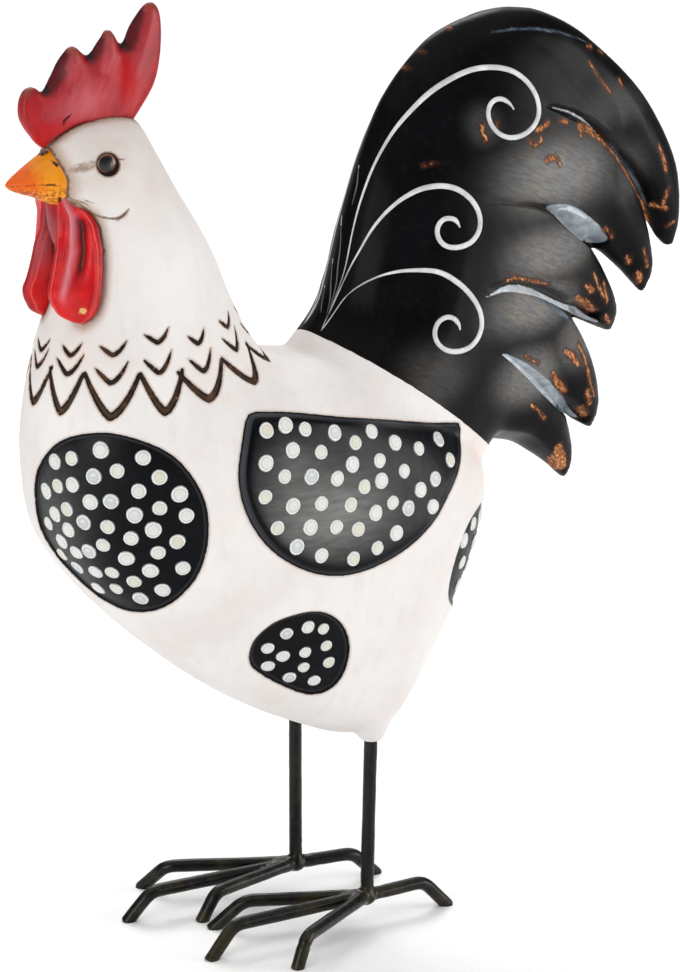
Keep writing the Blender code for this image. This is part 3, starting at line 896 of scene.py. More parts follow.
dots = bmesh.new()
rim_mark = dots.verts.layers.float.new("rim")
pick_mark = dots.verts.layers.float.new("pick")
kept = []
for spot in dot_spots():
    if all((spot - other).length > DOT_GAP for other in kept):
        kept.append(spot)
for k, spot in enumerate(kept):
    facing = body_tree.find_nearest(spot)[1]
    size = DOT_RADIUS * (1 + 0.07 * math.sin(k * 2.4)) * (BELLY_DOT if spot.z < BELLY_TOP else 1.0)
    before = len(dots.verts)
    turned(dots, spot, facing, [(r * size, h * DOT_HEIGHT) for r, h in DOT_ROWS], sides=14, sag=0.03)
    dots.verts.ensure_lookup_table()
    for vert in dots.verts[before:]:
        vert[rim_mark] = (vert.co - spot - facing * (vert.co - spot).dot(facing)).length / size
        vert[pick_mark] = (k * 0.618) % 1.0
bmesh.ops.recalc_face_normals(dots, faces=dots.faces)

dot_finish, at = new_finish("white_paint_drop")
rim = at.uneven("rim", 0.22, 2.2, 3.0)
pick = at.mark("pick")
paint = coats(
    pick.between(0.0, 0.5).over((210, 207, 188), (216, 217, 213)),
    (pick.between(0.8, 0.9), (190, 194, 198)),
    (rim.between(0.64, 0.74), (231, 232, 228)),
    (rim.near(0.68, 0.02, 0.12) * 0.5, (158, 160, 158)),
    (at.grain(1.6, 4.0, 0.7, shift=5.0).between(0.6, 0.8) * 0.55, (150, 148, 142)),
    (rim.between(0.86, 1.02), (120, 122, 124)),
    # dark line round the foot of the drop: partly dirt and partly a painted shadow where it meets the patch
    ((at.grain(1.4, 2.0, shift=31.0) + rim * 0.12).between(0.82, 0.86), (40, 36, 34)),
)
close_finish(dot_finish, paint, 0.42 + at.grain(2.0) * 0.2, at.grain(1.5, 3.0) * 0.12)
settle("dots", dots, dot_finish)


# ---- tail ----
# Black satin enamel over an orange-brown undercoat, rubbed through along the feather
# edges and tips; the undersides of the feathers are dry-brushed pale, and their broad
# faces are painted grey, partly dry-brush and partly a painted sheen.

# cuts between feathers from the top one down: y, z along the foot of the cut, slope
# widths of the feather above and of the one below, depth
CUTS = (
    ((104, 378, 1, 1, 0), (109, 376, 2, 1.2, 1), (119, 372, 3, 1.4, 2), (127, 368, 3.5, 1.5, 2.8),
     (134, 364, 4, 1.6, 3.4), (141, 358, 4.5, 1.6, 4), (148, 353, 5, 1.6, 4.6), (155, 347, 5.5, 1.6, 5.2),
     (162, 340, 6.5, 1.5, 6), (171, 326, 7.5, 1.5, 6.5), (179, 311, 8, 1.5, 6.5)),
    ((63, 338, 1, 1, 0), (73, 337, 1.5, 1.2, 0.8), (83, 335, 2, 1.2, 1.6), (93, 333, 3, 1.4, 2.6),
     (103, 329.6, 4, 1.5, 4), (108, 327, 5, 1.5, 5), (115, 322, 8, 1.6, 6), (122, 316.8, 9.5, 1.6, 7),
     (130, 311.5, 10.5, 1.6, 8), (139, 306, 11, 1.6, 8)),
    ((64, 297.5, 1, 1, 0), (70, 298.5, 1.5, 2, 1), (78, 298.3, 2, 3, 2.2), (86, 296.8, 2.4, 4, 3.2),
     (95, 294, 3.2, 5, 4.2), (103, 291, 4, 5.5, 5), (112, 286.5, 4.6, 6, 5.6), (121, 282, 4.6, 6, 6.2),
     (133, 276.3, 4, 6, 7), (142, 272, 3.6, 6, 7)),
    ((71, 267, 1, 1, 0), (78, 263, 1.5, 1.5, 1.2), (86, 257, 3, 1.5, 2.6), (94, 250.5, 4.5, 1.5, 3.8),
     (103, 243.5, 5.5, 1.5, 5), (112, 236.5, 6.5, 1.6, 6), (119, 231, 7, 1.6, 6.5), (128, 226, 7, 1.6, 7),
     (137, 221, 6, 1.6, 7)),
)
# white strokes in the cuts: y, z, half width
WHITE_STROKES = (
    ((109, 376.2, 0.15), (119, 373.2, 0.35), (127, 369.2, 0.4), (133, 365.2, 0.3), (138, 361, 0.1)),
    ((62, 294.5, 0.0), (66, 295.2, 0.4), (72, 296.6, 0.9), (78, 296.4, 1.3), (85, 295, 1.6), (94, 292, 1.4),
     (101, 289, 1.0), (111, 284, 1.0), (120, 280, 1.2), (133, 275, 1.7), (140, 271, 1.1), (146, 268, 0.4)),
    ((73, 266.3, 0.3), (79, 262.4, 0.7), (86, 257, 0.9), (96, 250, 0.9), (108, 241, 0.8), (118, 233, 0.5)),
    ((112, 328.4, 0.4), (117, 328.6, 0.8), (123, 326, 0.9), (130, 322, 0.6)),
)
# blue-grey strokes: y, z, half width
GREY_STROKES = (
    ((148, 354.5, 0.1), (157, 347.5, 0.5), (164, 341, 0.8), (170, 332, 0.9), (174, 326, 0.7),
     (176, 321, 0.2)),
    # the next stroke, along the crease under the crest, is a painted sheen
    ((80, 412.3, 0.1), (92, 413, 0.3), (107, 411.8, 0.45), (120, 409, 0.35), (136, 403, 0.1)),
    ((97, 289, 0.4), (104, 285, 1.1), (111, 281, 1.4), (119, 276, 0.8)),
)
# undersides of the second and fourth feathers painted pale to a crisp edge: y, z round the edge
PALE_SIDES = (
    ((104, 330.6), (109, 331.4), (114.5, 330.8), (120.5, 328.9), (126.5, 325.6), (134, 321), (142, 315.7),
     (149, 308.5), (146.5, 305.7), (136.6, 308.2), (127, 313.5), (119, 319), (111.8, 324.8)),
    ((74, 266.6), (82.4, 262.7), (90.8, 258.2), (101.8, 251), (110, 245.6), (118.1, 239.9), (127, 232),
     (132.8, 226.2), (138, 221.8), (130, 224), (120, 230), (113.6, 234.8), (107.9, 239.3), (96.3, 248.4),
     (86.2, 256.2), (79, 261.8)),
)
# rubbed through to the undercoat, from the top feather down: y, z, half width
WORN = (
    ((39.5, 397.8, 0.2), (40.5, 398.6, 0.3)), ((48, 404.8, 0.3), (48.6, 405.3, 0.2)),
    ((62.6, 414.6, 0.3), (64, 415.2, 0.2)), ((135.5, 401.5, 0.4), (138, 401, 0.8)),
    ((143, 398.5, 0.4), (145.5, 397.5, 0.8)), ((135, 394, 0.4), (141, 386, 0.5), (148, 378, 0.3)),
    ((37, 356.4, 0.3), (43, 357, 0.1)), ((67, 372, 0.9), (67, 369, 0.7), (68, 366, 1.0)),
    ((75, 371, 0.7), (75, 373, 0.7)), ((97, 367, 0.8), (102, 368, 1.0), (105, 370, 0.9)),
    ((92, 364, 0.5), (95, 360, 0.7), (100, 362, 0.6), (100, 364, 0.4)),
    ((103, 353, 1.2), (108, 354, 1.0), (111, 350, 0.8)), ((112, 370, 0.7), (117, 369, 0.8)),
    ((154, 384, 0.7), (155, 381, 0.8)), ((178, 351, 0.5), (181, 344, 1.0), (183, 338, 0.9)),
    ((185, 329, 0.9), (183, 322, 1.0)), ((179, 321, 1.1), (185, 319, 0.8)),
    ((187, 310, 0.6), (191, 312, 0.5)),
    ((125, 366, 1.9), (134, 362, 1.8), (141, 357, 1.5), (147, 352, 1.1), (156, 344, 1.3), (161, 338, 1.6),
     (167, 331, 1.6), (170, 326, 1.2), (174, 321, 1.5), (178, 313, 1.1), (181, 303, 0.7)),
    ((126, 365, 0.8), (125, 361, 0.4)), ((162, 298, 0.8), (164, 295, 1.0)),
    ((171, 301, 0.7), (175, 292, 0.8)), ((170, 289, 1.2), (172, 285, 1.6)),
    ((145, 315, 0.6), (151, 309, 0.4)),
    ((75, 300, 0.5), (81, 301, 0.8), (88, 299, 0.6), (95, 297, 0.8), (105, 294, 0.4)),
    ((127, 284, 1.2), (134, 280, 1.6), (142, 274, 1.1)), ((132, 289, 1.0), (136, 286, 1.5)),
    ((137, 294, 0.8), (141, 287, 1.0), (145, 282, 0.8)), ((145, 288, 0.7), (148, 279, 1.0)),
    ((149, 271, 0.8), (153, 267, 0.8)), ((88, 263, 0.6), (93, 260, 0.5), (98, 258, 0.7)),
    ((118, 260, 1.0), (124, 256, 1.8), (128, 251, 1.0)),
    ((110, 250, 1.4), (118, 243, 1.7), (123, 238, 1.2)),
    ((128, 261, 0.7), (133, 252, 1.2), (137, 242, 0.7), (141, 234, 0.9)),
    ((136, 237, 1.4), (139, 230, 1.2)), ((135, 228, 1.2), (140, 223, 1.2)),
    ((97, 237, 1.0), (101, 234, 0.4), (106, 229, 0.9)), ((119, 212, 2.0), (122, 206, 3.6), (126, 200, 2.6)),
)
# broad places painted grey, partly dry-brush and partly a painted sheen: y, z, reach along y and z, strength
GREY_DRYBRUSH_AND_SHEEN = (
    (110, 345, 34, 16, 1.0), (106, 309, 27, 12, 0.95), (94, 286, 27, 12, 1.0), (92, 252, 21, 13, 0.9),
    (160, 340, 11, 13, 0.4), (68, 372, 9, 9, 0.25), (126, 262, 14, 12, 0.6), (150, 372, 20, 10, 0.2),
    (32, 262, 18, 14, 0.25),
)
ROOTS_START = 55                     # y beyond which the feathers' roots run out of the fan
ROOTS_PASSES = 45


def brush_distance(points, strokes):
    """Distance from the nearest brush stroke seen from the side, less its half width."""
    flat = points * (0, 1, 1)
    return np.min([line_distance(flat, [(0, y, z) for y, z, _half in rows], [row[2] for row in rows])
                   for rows in strokes], axis=0)


def cut_profile(points, rows):
    """Nearest place on a cut: signed distance (+ above it), then slope widths and depth."""
    line = resample(rows, 30, spacing=2)
    gap = np.full(len(points), FAR)
    found = np.zeros((len(points), 3))
    flat = points[:, 1:]
    for a, b in zip(line[:-1], line[1:]):
        way = b[:2] - a[:2]
        t = np.clip((flat - a[:2]) @ way / (way @ way), 0.0, 1.0)
        off = flat - a[:2] - t[:, None] * way
        size = np.hypot(*off.T)
        side = np.sign(way[0] * off[:, 1] - way[1] * off[:, 0])
        near = size < np.abs(gap)
        gap[near] = (size * np.where(side == 0, 1, side))[near]
        found[near] = (a[2:] + t[:, None] * (b - a)[2:])[near]
    return gap, found.T


tail = part_skin(keep_tail=True)
# run the feathers' roots smoothly out of the fan, leaving the outline as it is
broad_sides = [v for v in tail.verts if v.co.y > ROOTS_START and abs(v.normal.x) > 0.5]
for _pass in range(ROOTS_PASSES):
    bmesh.ops.smooth_vert(tail, verts=broad_sides, factor=0.5, use_axis_x=True)
points = places(tail)
near_cut = np.min([np.abs(cut_profile(points, rows)[0]) for rows in CUTS], axis=0)
near_paint = brush_distance(points, WHITE_STROKES + WORN + GREY_STROKES)
refine(tail, ((near_cut < 3.5) | (near_paint < 1.6)) & (points[:, 1] > 60))

points = places(tail)
normals = facings(tail)
depth = np.zeros(len(points))
for rows in CUTS:
    gap, (wide_above, wide_below, deep) = cut_profile(points, rows)
    above, below = 1 - gap / wide_above, 1 + gap / wide_below
    depth = np.maximum(depth, deep * np.clip(np.where(gap > 0, above, below), 0, 1))
# grey over the feathers' faces: partly dry-brush and partly a painted sheen, fading in the cuts
dry = np.zeros(len(points))
for y, z, reach_y, reach_z, strength in GREY_DRYBRUSH_AND_SHEEN:
    off = ((points[:, 1] - y) / reach_y) ** 2 + ((points[:, 2] - z) / reach_z) ** 2
    dry = np.maximum(dry, strength * np.exp(-off**1.5))
flat = points * (0, 1, 1)
rings = [closed_curve(rows, 80) for rows in PALE_SIDES]
tail_marks = {
    "dry": dry * (1 - 0.75 * rise(depth, 0.3, 2.5)),
    "worn": brush_distance(points, WORN),
    "white": brush_distance(points, WHITE_STROKES),
    "grey": brush_distance(points, GREY_STROKES),
    "pale_side": np.min([edge_distance(flat, [(0, y, z) for y, z in ring], flat[:, 1:], ring)
                         for ring in rings], axis=0),
}
side_on = rise(np.abs(normals[:, 0]), 0.25, 0.6)
points[:, 0] -= np.sign(points[:, 0]) * np.minimum(depth, np.abs(points[:, 0]) * 0.6) * side_on
move(tail, points)
swell(tail, 0.2 * rough_value(points, size=14.0, seed=8.0))

tail_finish, at = new_finish("black_worn_enamel")
streak = at.grain(2.0, 4.0, 0.65, stretch=(1, 5, 1), turn=-40)
# streaked grey over the feathers: partly dry-brush and partly a painted sheen
drybrush_sheen_streaks = at.grain(1.3, 4.0, 0.7, stretch=(1, 8, 1), turn=-22, shift=23.0)
drybrush_sheen_streaks = (at.mark("dry") * (0.62 + 0.5 * drybrush_sheen_streaks.between(0.25, 0.75))).held()
pale = at.grain(11.0, 3.0, shift=6.0).between(0.35, 0.65).over((118, 118, 119), (126, 121, 114))
ragged = at.grain(1.2, 4.0, 0.7, stretch=(1, 4, 1), turn=-40, shift=40.0) - 0.5
cold = at.grain(3.0, 4.0, 0.6, stretch=(1, 4, 1), turn=-40, shift=2.0).between(0.3, 0.7)
grey = (at.mark("grey") + ragged * 3.0).below(-0.6, 0.6)
underside = (at.mark("pale_side") + ragged * 0.9).below(-0.25, 0.25)
white = (at.mark("white") + ragged * 1.1).below(-0.25, 0.35)
chips = at.grain(0.9, 4.0, 0.7, stretch=(1, 4.5, 1), turn=-58, shift=17.0) - 0.5
scored = at.grain(0.55, 3.0, 0.7, stretch=(1, 6, 1), turn=-62, shift=31.0).between(0.4, 0.5)
soaked = (at.mark("worn") + chips * 5.0).below(0.2, 1.6)
through = (at.mark("worn") + chips * 4.2).below(-0.45, 0.15) * scored
shade = at.grain(1.4, 3.0, 0.6, stretch=(1, 4, 1), turn=-58, shift=5.0)
undercoat = shade.between(0.36, 0.52).over((102, 60, 38), (190, 120, 72))
enamel = coats(
    at.grain(30.0, 2.0).between(0.35, 0.7).over((8, 8, 9), (14, 14, 17)),
    (streak.between(0.5, 0.8) * 0.5, (30, 29, 29)),
    (drybrush_sheen_streaks, pale),
    (grey * 0.8, cold.over((58, 72, 86), (112, 126, 140))),
    (underside * 0.92, cold.over((132, 141, 148), (168, 177, 184))),
    (white * 0.9, cold.over((182, 188, 194), (222, 226, 230))),
    (soaked * 0.75, (66, 40, 28)),
    (through, coats(undercoat, (shade.between(0.54, 0.66), (228, 172, 126)))),
)
gloss = 0.24 + streak * 0.12 + (through * 0.3).most(underside.most(white) * 0.25)
relief = streak * 0.04 - through * 0.08 + drybrush_sheen_streaks * 0.03 + at.grain(0.8) * 0.01
close_finish(tail_finish, enamel, gloss, relief, specular_ior_level=0.055)
tail_tree = BVHTree.FromBMesh(tail)
settle("tail", tail, tail_finish, tail_marks)


# ---- scrolls ----
# Three thin curling lines on each side of the tail, squeezed on as raised white paint.
# They spring together from the foot of the front edge and swell towards their curls.

# the root of each line on the front edge: x, y, z, and from there y, z to the eye of its curl
SCROLLS = (
    (((8, -9, 282.3), (5.8, -3.6, 290.8), (6.5, 0.4, 299.8), (7.4, 3.1, 307.3), (7.1, 5.7, 316.2),
      (6.6, 9.5, 331.4), (7, 14.1, 344.9), (8.1, 19.9, 358.3)),
     ((28.5, 372.2), (35.5, 379.6), (45.2, 387.8), (55.1, 393.1), (65.1, 396.8), (75.1, 397.6),
      (85.4, 395.8), (93.2, 391.1), (98.7, 384.3), (100.4, 376.8), (97.7, 370.5), (90.9, 366.3),
      (82.1, 365.2), (74.6, 368.1), (70.6, 374.9), (72, 381.2), (78.2, 384), (84.4, 380.1), (85.2, 377.9))),
    (((7.8, -9.2, 282.1), (6.2, -5.2, 287.4), (6.4, -1.2, 295.2), (8.1, 2.2, 303.2), (9.4, 5.1, 310.5),
      (12.1, 8.8, 318.5), (14, 12.9, 326.7), (16.4, 18.4, 334.4)),
     ((25.1, 341), (33.7, 345.7), (42.6, 347), (50.4, 345.3), (57, 340.4), (61.1, 333.4), (61, 326.4),
      (56.7, 321.1), (48.3, 318.9), (41.3, 320.7), (39, 326.9), (42.7, 332.3), (48.7, 331.6), (50.4, 327.8))),
    (((7.7, -9.4, 282), (8.1, -5.9, 285.9), (8.8, -2, 291.2), (10.8, 1.5, 297.2), (15.4, 6.7, 303)),
     ((13.8, 307.6), (21.5, 309.7), (29.7, 309.9), (38.4, 308.7), (47, 303.3), (54.5, 296), (59.2, 288),
      (59.4, 280.2), (54.1, 273.7), (44.9, 271.8), (36.3, 274.4), (33, 280.3), (36, 286.6), (42.5, 288.2),
      (46.9, 283.8), (46.9, 281.5))),
)
# thin raised lines of the carving on the tail's front edge: x, y, z
FRONT_LINES = (
    ((-3.1, 8.6, 332.2), (0.6, 5.8, 323.8), (2.1, 4.3, 317.3), (2.9, 2.7, 310.6), (4.4, 1.2, 304),
     (4.8, -0.1, 299.6), (5.1, -2.4, 293.8), (6.2, -4.2, 289.5)),
    ((-2.2, 3.2, 312.9), (0.9, 0.2, 303.5), (3.5, -2, 294.9), (5, -4.5, 289)),
    ((-3.8, -0.1, 300.4), (-1.8, -3, 294), (1.5, -5.5, 288.9)),
    ((0.4, 15.6, 355.3), (2.6, 13.1, 346.6), (3, 10.2, 337.7)),
)
LINE_POINTS = 150


def on_tail(side, y, z):
    """Point of the tail's side at y, z, or the nearest one where the side ends."""
    spot, facing, _index, _gap = tail_tree.ray_cast(Vector((side * 200.0, y, z)), Vector((-side, 0.0, 0.0)))
    if spot is None or abs(facing.x) < 0.1:
        spot = tail_tree.find_nearest(Vector((side * 8.0, y, z)))[0]
    return spot


def bead(bm, line, facings, half, height):
    """Raised line of paint along a run of points, rounded on top and let in below."""
    ways = np.gradient(line, axis=0)

    def section(k, turn):
        facing = Vector(facings[k])
        out = Vector(ways[k]).cross(facing).normalized()
        c, s = round_turn(turn)
        return Vector(line[k]) + out * (half[k] * c) + facing * (height[k] * s if s > 0 else 0.6 * s)

    loft(bm, range(len(line)), sides=10, section=section)


def laid(line):
    """An even smooth line of points lying on the tail, with the way each one faces."""
    line = resample(line, LINE_POINTS, spacing=3)
    for _pass in range(2):
        line[1:-1] = (line[:-2] + 2 * line[1:-1] + line[2:]) / 4
    hits = [tail_tree.find_nearest(Vector(p)) for p in line]
    line, ways = (np.array([hit[k] for hit in hits]) for k in (0, 1))
    for _pass in range(8):
        line[1:-1] = (line[:-2] + 2 * line[1:-1] + line[2:]) / 4
        ways[1:-1] = (ways[:-2] + ways[1:-1] + ways[2:]) / 3
    return line, ways


scrolls = bmesh.new()
root_mark = scrolls.verts.layers.float.new("root")


def squeeze(line, half, height, stain):
    """Add a bead of paint along a line; stain gives how grey it is at a point, the grey standing partly for
    the dark bare carving and partly for a painted highlight on it.
    """
    before = len(scrolls.verts)
    bead(scrolls, *line, half, height)
    scrolls.verts.ensure_lookup_table()
    for vert in scrolls.verts[before:]:
        vert[root_mark] = stain(vert.co)


run = np.linspace(0.0, 1.0, LINE_POINTS)
half = 0.24 + 1.08 * rise(run, 0.05, 0.42) - 0.15 * rise(run, 0.6, 0.9)
half *= 0.35 + 0.65 * rise(1 - run, 0.0, 0.04)
# the paint greys towards the roots and on the front-edge lines: partly the dark bare carving and partly a
# painted highlight on it
for root, curl in SCROLLS:
    for side in (1, -1):
        foot = [tail_tree.find_nearest(Vector((side * x, y, z)))[0] for x, y, z in root]
        line = laid([*foot, *[on_tail(side, y, z) for y, z in resample(curl, 40, spacing=2)]])
        start = Vector(line[0][0])
        squeeze(line, half, 0.2 + 0.4 * half, lambda spot: 1 - rise((spot - start).length, 8.0, 42.0))
for rows in FRONT_LINES:
    squeeze(laid(rows), 0.1 + 0.3 * np.sin(math.pi * run), np.full(LINE_POINTS, 0.25), lambda spot: 1.3)
bmesh.ops.recalc_face_normals(scrolls, faces=scrolls.faces)

scroll_finish, at = new_finish("white_line_paint")
paint = coats(
    at.grain(9.0, 3.0).between(0.3, 0.7).over((226, 226, 224), (190, 192, 194)),
    (at.grain(1.2, 3.0, 0.7).between(0.6, 0.72) * 0.5, (120, 120, 122)),
    (at.uneven("root", 0.3, 4.0, 2.0, shift=3.0).held(), (92, 92, 94)),
)
close_finish(scroll_finish, paint, 0.45 + at.grain(1.5) * 0.2, at.grain(1.0, 3.0) * 0.1)
settle("scrolls", scrolls, scroll_finish)


# ---- comb ----
# Four-pointed blade of the same casting, red lacquer with dark paint left in the hollows
# between its points and rubbed back on their rims.

# comb edge y, z / its root in the skull y, z / half thickness, front to back
COMB = (
    (-151, 381, -147, 378, 3), (-155.7, 387.5, -146, 380, 5), (-158.3, 393, -145, 381, 6.2),
    (-158, 400, -143.5, 382, 6.6), (-155.3, 404.8, -142, 383, 6.8), (-151.5, 405.6, -141, 383.5, 6.9),
    (-147.3, 403.0, -140, 384, 7), (-143.5, 408.4, -138, 385, 7.1), (-138.2, 417, -135, 386, 7.4),
    (-131.8, 421.9, -130.5, 387, 7.5), (-124.6, 417.1, -124, 387, 7.5), (-118.5, 423.5, -120.5, 387, 7.5),
    (-113.6, 427.9, -117.5, 387, 7.5), (-107.6, 420.6, -114, 387, 7.5), (-102.8, 428.9, -112, 387, 7.4),
    (-95.5, 437.2, -110, 386.5, 7.1), (-91, 437.9, -109, 386.5, 7), (-88.0, 432, -108.5, 386, 6.8),
    (-88.2, 416, -107.5, 385.8, 6.3), (-92, 401.5, -106.5, 385.3, 5), (-104, 387, -105, 385, 3),
)
# either face of the comb: across (+1 edge, -1 root), thickness
COMB_FACE = (
    (1.0, 0.0), (0.985, 0.18), (0.93, 0.34), (0.8, 0.46), (0.5, 0.6), (0.0, 0.78), (-0.5, 0.93),
    (-0.9, 1.0), (-1.0, 0.0),
)
# scoops down the front of each point: y, z, radius, from the notch to the tip
COMB_SCOOPS = (
    ((-144.4, 404.6, 4.0), (-140.6, 409.8, 4.2), (-138.5, 415, 3.2), (-135.7, 419, 2.0)),
    ((-123, 417.3, 4.0), (-119.6, 421.2, 3.4), (-118, 424.3, 2.0)),
    ((-105.5, 420.4, 4.2), (-102.7, 425.9, 4.0), (-98.2, 434.3, 2.4)),
)
# rounded backs beside the scoops, and the rolled front edge: y, z, radius
COMB_BACKS = (
    ((-155.6, 404, 1.8), (-157.6, 398, 2.2), (-156, 391, 2.2), (-152.5, 386, 1.5)),
    ((-136.5, 402, 2.0), (-135.0, 412, 3.0), (-133, 419, 2.2)),
    ((-118.5, 411, 2.5), (-116.2, 419, 3.0), (-114.8, 425, 2.0)),
    ((-104, 408, 3.0), (-99.5, 420, 3.4), (-94, 434, 2.4)),
)
COMB_NOTCHES = ((-146.6, 404.2), (-124.2, 417.6), (-107.3, 421.2))   # y, z
COMB_TIPS = ((-156, 405), (-132, 421), (-114.5, 427), (-93, 438))
# a scratch low on its side: y, z, half width
COMB_SCRATCH = (((-140.1, 388.6, 0.3), (-139.9, 390.4, 0.5), (-138, 391.9, 0.5), (-136, 393.4, 0.1)),)


def side_gap(points, y, z):
    """Distance from y, z seen from the side."""
    return np.hypot(points[:, 1] - y, points[:, 2] - z)


def hollow_value(points, lines):
    """1 on the nearest of the lines seen from the side, fading over its radius."""
    spots = [spot for rows in lines for spot in resample(rows, 16, spacing=2)]
    return bell(np.min([side_gap(points, y, z) / radius for y, z, radius in spots], axis=0), 1.0)


bm = bmesh.new()
loft(bm, resample(COMB, count=110), sides=36, section=face_section(COMB_FACE))
comb = fuse(bm, voxel=0.8, passes=5)
points = places(comb)
scoop, back = hollow_value(points, COMB_SCOOPS), hollow_value(points, COMB_BACKS)
points[:, 0] -= np.sign(points[:, 0]) * rise(np.abs(points[:, 0]), 0.3, 2.5) * (2.5 * scoop - 0.6 * back)
move(comb, points)
points = places(comb)
soft = comb.copy()
rub(soft, soft.verts, 30)
y, z = points[:, 1], points[:, 2]
# pink on the raised backs and the middle of the comb: partly dry-brush and partly a painted sheen
haze = 0.75 * back * rise(z, 396.0, 412.0) * (1 - 0.45 * rise(y, -110.0, -98.0))
comb_marks = {
    "haze": np.maximum(soft_spot(y, z - 0.3 * (y + 130), -130, 397, 15, 9), haze),
    "deep": np.maximum(rise(-z, -394.0, -386.0), soft_spot(y, z, -106, 403, 7, 11)),
    "scoop": scoop,
    "notch": np.min([side_gap(points, *notch) for notch in COMB_NOTCHES], axis=0),
    "proud": ((points - places(soft)) * facings(comb)).sum(axis=1),
    "crest": sum(soft_spot(y, z, *tip, 4, 4) for tip in COMB_TIPS),
    "scratch": brush_distance(points, COMB_SCRATCH),
}
soft.free()

comb_finish, at = new_finish("red_lacquer_comb")
streak = at.grain(1.6, 4.0, 0.6, stretch=(1, 1.2, 5), turn=-25)
patchy = at.grain(12.0, 3.0, 0.6, shift=3.0)
rubbed = (at.mark("proud") + at.grain(2.6, 3.0) * 0.6 - 0.3).between(0.22, 0.5)
crest = (at.mark("crest") * (0.4 + at.grain(2.4, 3.0, shift=7.0) * 1.2)).between(0.35, 0.7)
red = coats(
    patchy.between(0.35, 0.7).over((170, 24, 28), (146, 20, 32)),
    # pink partly dry-brush and partly a painted sheen
    ((at.mark("haze") * (0.3 + streak * 0.85)).held(), (196, 96, 104)),
    (streak.between(0.55, 0.8) * 0.3, (204, 84, 90)),
    (at.mark("deep") * 0.85, (180, 12, 16)),
    (rubbed * 0.3, (96, 26, 26)),
    (crest * 0.5, (122, 70, 44)),
    (at.uneven("scoop", 0.3, 2.6, 3.0, shift=9.0).between(0.1, 0.85) * 0.9, (70, 12, 18)),
    (at.uneven("notch", 1.6, 2.0, 3.0, shift=2.0).below(0.8, 4.2), (24, 9, 10)),
    (at.mark("scratch").below(-0.1, 0.35), (70, 14, 18)),
)
relief = streak * 0.1 + at.grain(0.7) * 0.02
close_finish(comb_finish, red, 0.34 + streak * 0.15, relief, specular_ior_level=0.25)
comb_tree = BVHTree.FromBMesh(comb)
settle("comb", comb, comb_finish, comb_marks)


# ---- beak ----
# Short stout beak, orange enamel going yellow at its base, with a cut mouth line and
# dark flecks of antiquing.

# ridge y, z / underside y, z / half width / roundness, base to tip
BEAK = (
    (-138, 378, -128, 350.5, 14.6, 2.4), (-144, 378, -136, 351, 14.4, 2.4),
    (-149, 375.4, -144, 353.2, 12.8, 2.3), (-155, 371.6, -153, 357.2, 9.2, 2.2),
    (-160.5, 368, -159.5, 359.4, 6.0, 2.0), (-164.4, 365.3, -163.4, 361, 3.2, 2.0),
    (-165.9, 363.8, -165.7, 362.8, 0.9, 2.0),
)
RIDGE_ROUND = 1.6                    # the upper half is drawn to a ridge
# y, z along the mouth line
MOUTH = ((-167, 363.2), (-160, 363.6), (-152, 363.9), (-146, 363.3))
# dark antiquing: y, z, half width
BEAK_STAINS = (
    ((-146.4, 373.6, 0.2), (-145.4, 372.2, 0.7)), ((-148.8, 377, 1.7), (-146.5, 377.8, 1.2)),
    ((-144.8, 357.4, 0.6), (-143.9, 355.4, 0.5)), ((-152.6, 364.1, 0.2), (-148, 363.8, 0.35)),
)


def beak_section(row, turn):
    """Rounded section whose upper half comes to a ridge."""
    return round_section((*row[:5], row[5] if 0.25 <= turn <= 0.75 else RIDGE_ROUND), turn)


bm = bmesh.new()
loft(bm, resample(BEAK, count=40), sides=48, section=beak_section)
beak = fuse(bm, voxel=0.6, passes=4)
points = places(beak)
y, z = points[:, 1], points[:, 2]
mouth = np.abs(z - np.interp(y, *resample(MOUTH, 20, spacing=2).T))
mouth = np.where((y < -144) & (y > -165), mouth, 5.0)
jaw = rise(-z, -363.0, -360.0)
lift = 0.12 * rough_value(points, size=5.0, seed=2.0) + 0.28 * jaw * rough_value(points, size=2.2, seed=4.0)
swell(beak, lift - 0.4 * bell(mouth, 0.6))

beak_finish, at = new_finish("orange_beak_enamel")
streak = at.grain(1.6, 4.0, 0.6, stretch=(1, 4, 1), turn=20)
mottle = at.grain(2.0, 4.0, 0.7, shift=3.0)
fleck = at.grain(1.1, 4.0, 0.7, shift=13.0)
line = (at.mark("mouth") + (fleck - 0.5) * 1.4).below(0.0, 0.42)
line = line * at.grain(1.8, 2.0, shift=6.0).between(0.36, 0.5)
horn = coats(
    at.uneven("back", 0.6, 4.0, 3.0, shift=8.0).between(0.35, 1.0).over((226, 96, 14), (234, 146, 26)),
    (streak.between(0.5, 0.8) * 0.45, (186, 88, 24)),
    (at.mark("jaw") * mottle.between(0.5, 0.62) * 0.6, (240, 172, 60)),
    (at.mark("jaw") * mottle.below(0.4, 0.52) * 0.85, (112, 56, 18)),
    (fleck.between(0.72, 0.8), (92, 48, 20)),
    (line * 0.8, (92, 50, 24)),
    (at.uneven("stain", 2.2, 1.6, 4.0, 0.7, shift=19.0).below(-0.3, 0.5), (48, 30, 18)),
)
relief = streak * 0.06 + at.grain(0.7) * 0.02
close_finish(beak_finish, horn, 0.34 + streak * 0.2, relief, specular_ior_level=0.25)
beak_tree = BVHTree.FromBMesh(beak)
settle("beak", beak, beak_finish, {
    "mouth": mouth,
    "jaw": jaw,
    "stain": brush_distance(points, BEAK_STAINS),
    "back": rise(y, -165.0, -147.0)})


# ---- wattles ----
# Two hanging lobes in the comb's red lacquer, each hollowed on its outer face inside a
# raised rim; a short fold between them ties both to the throat.

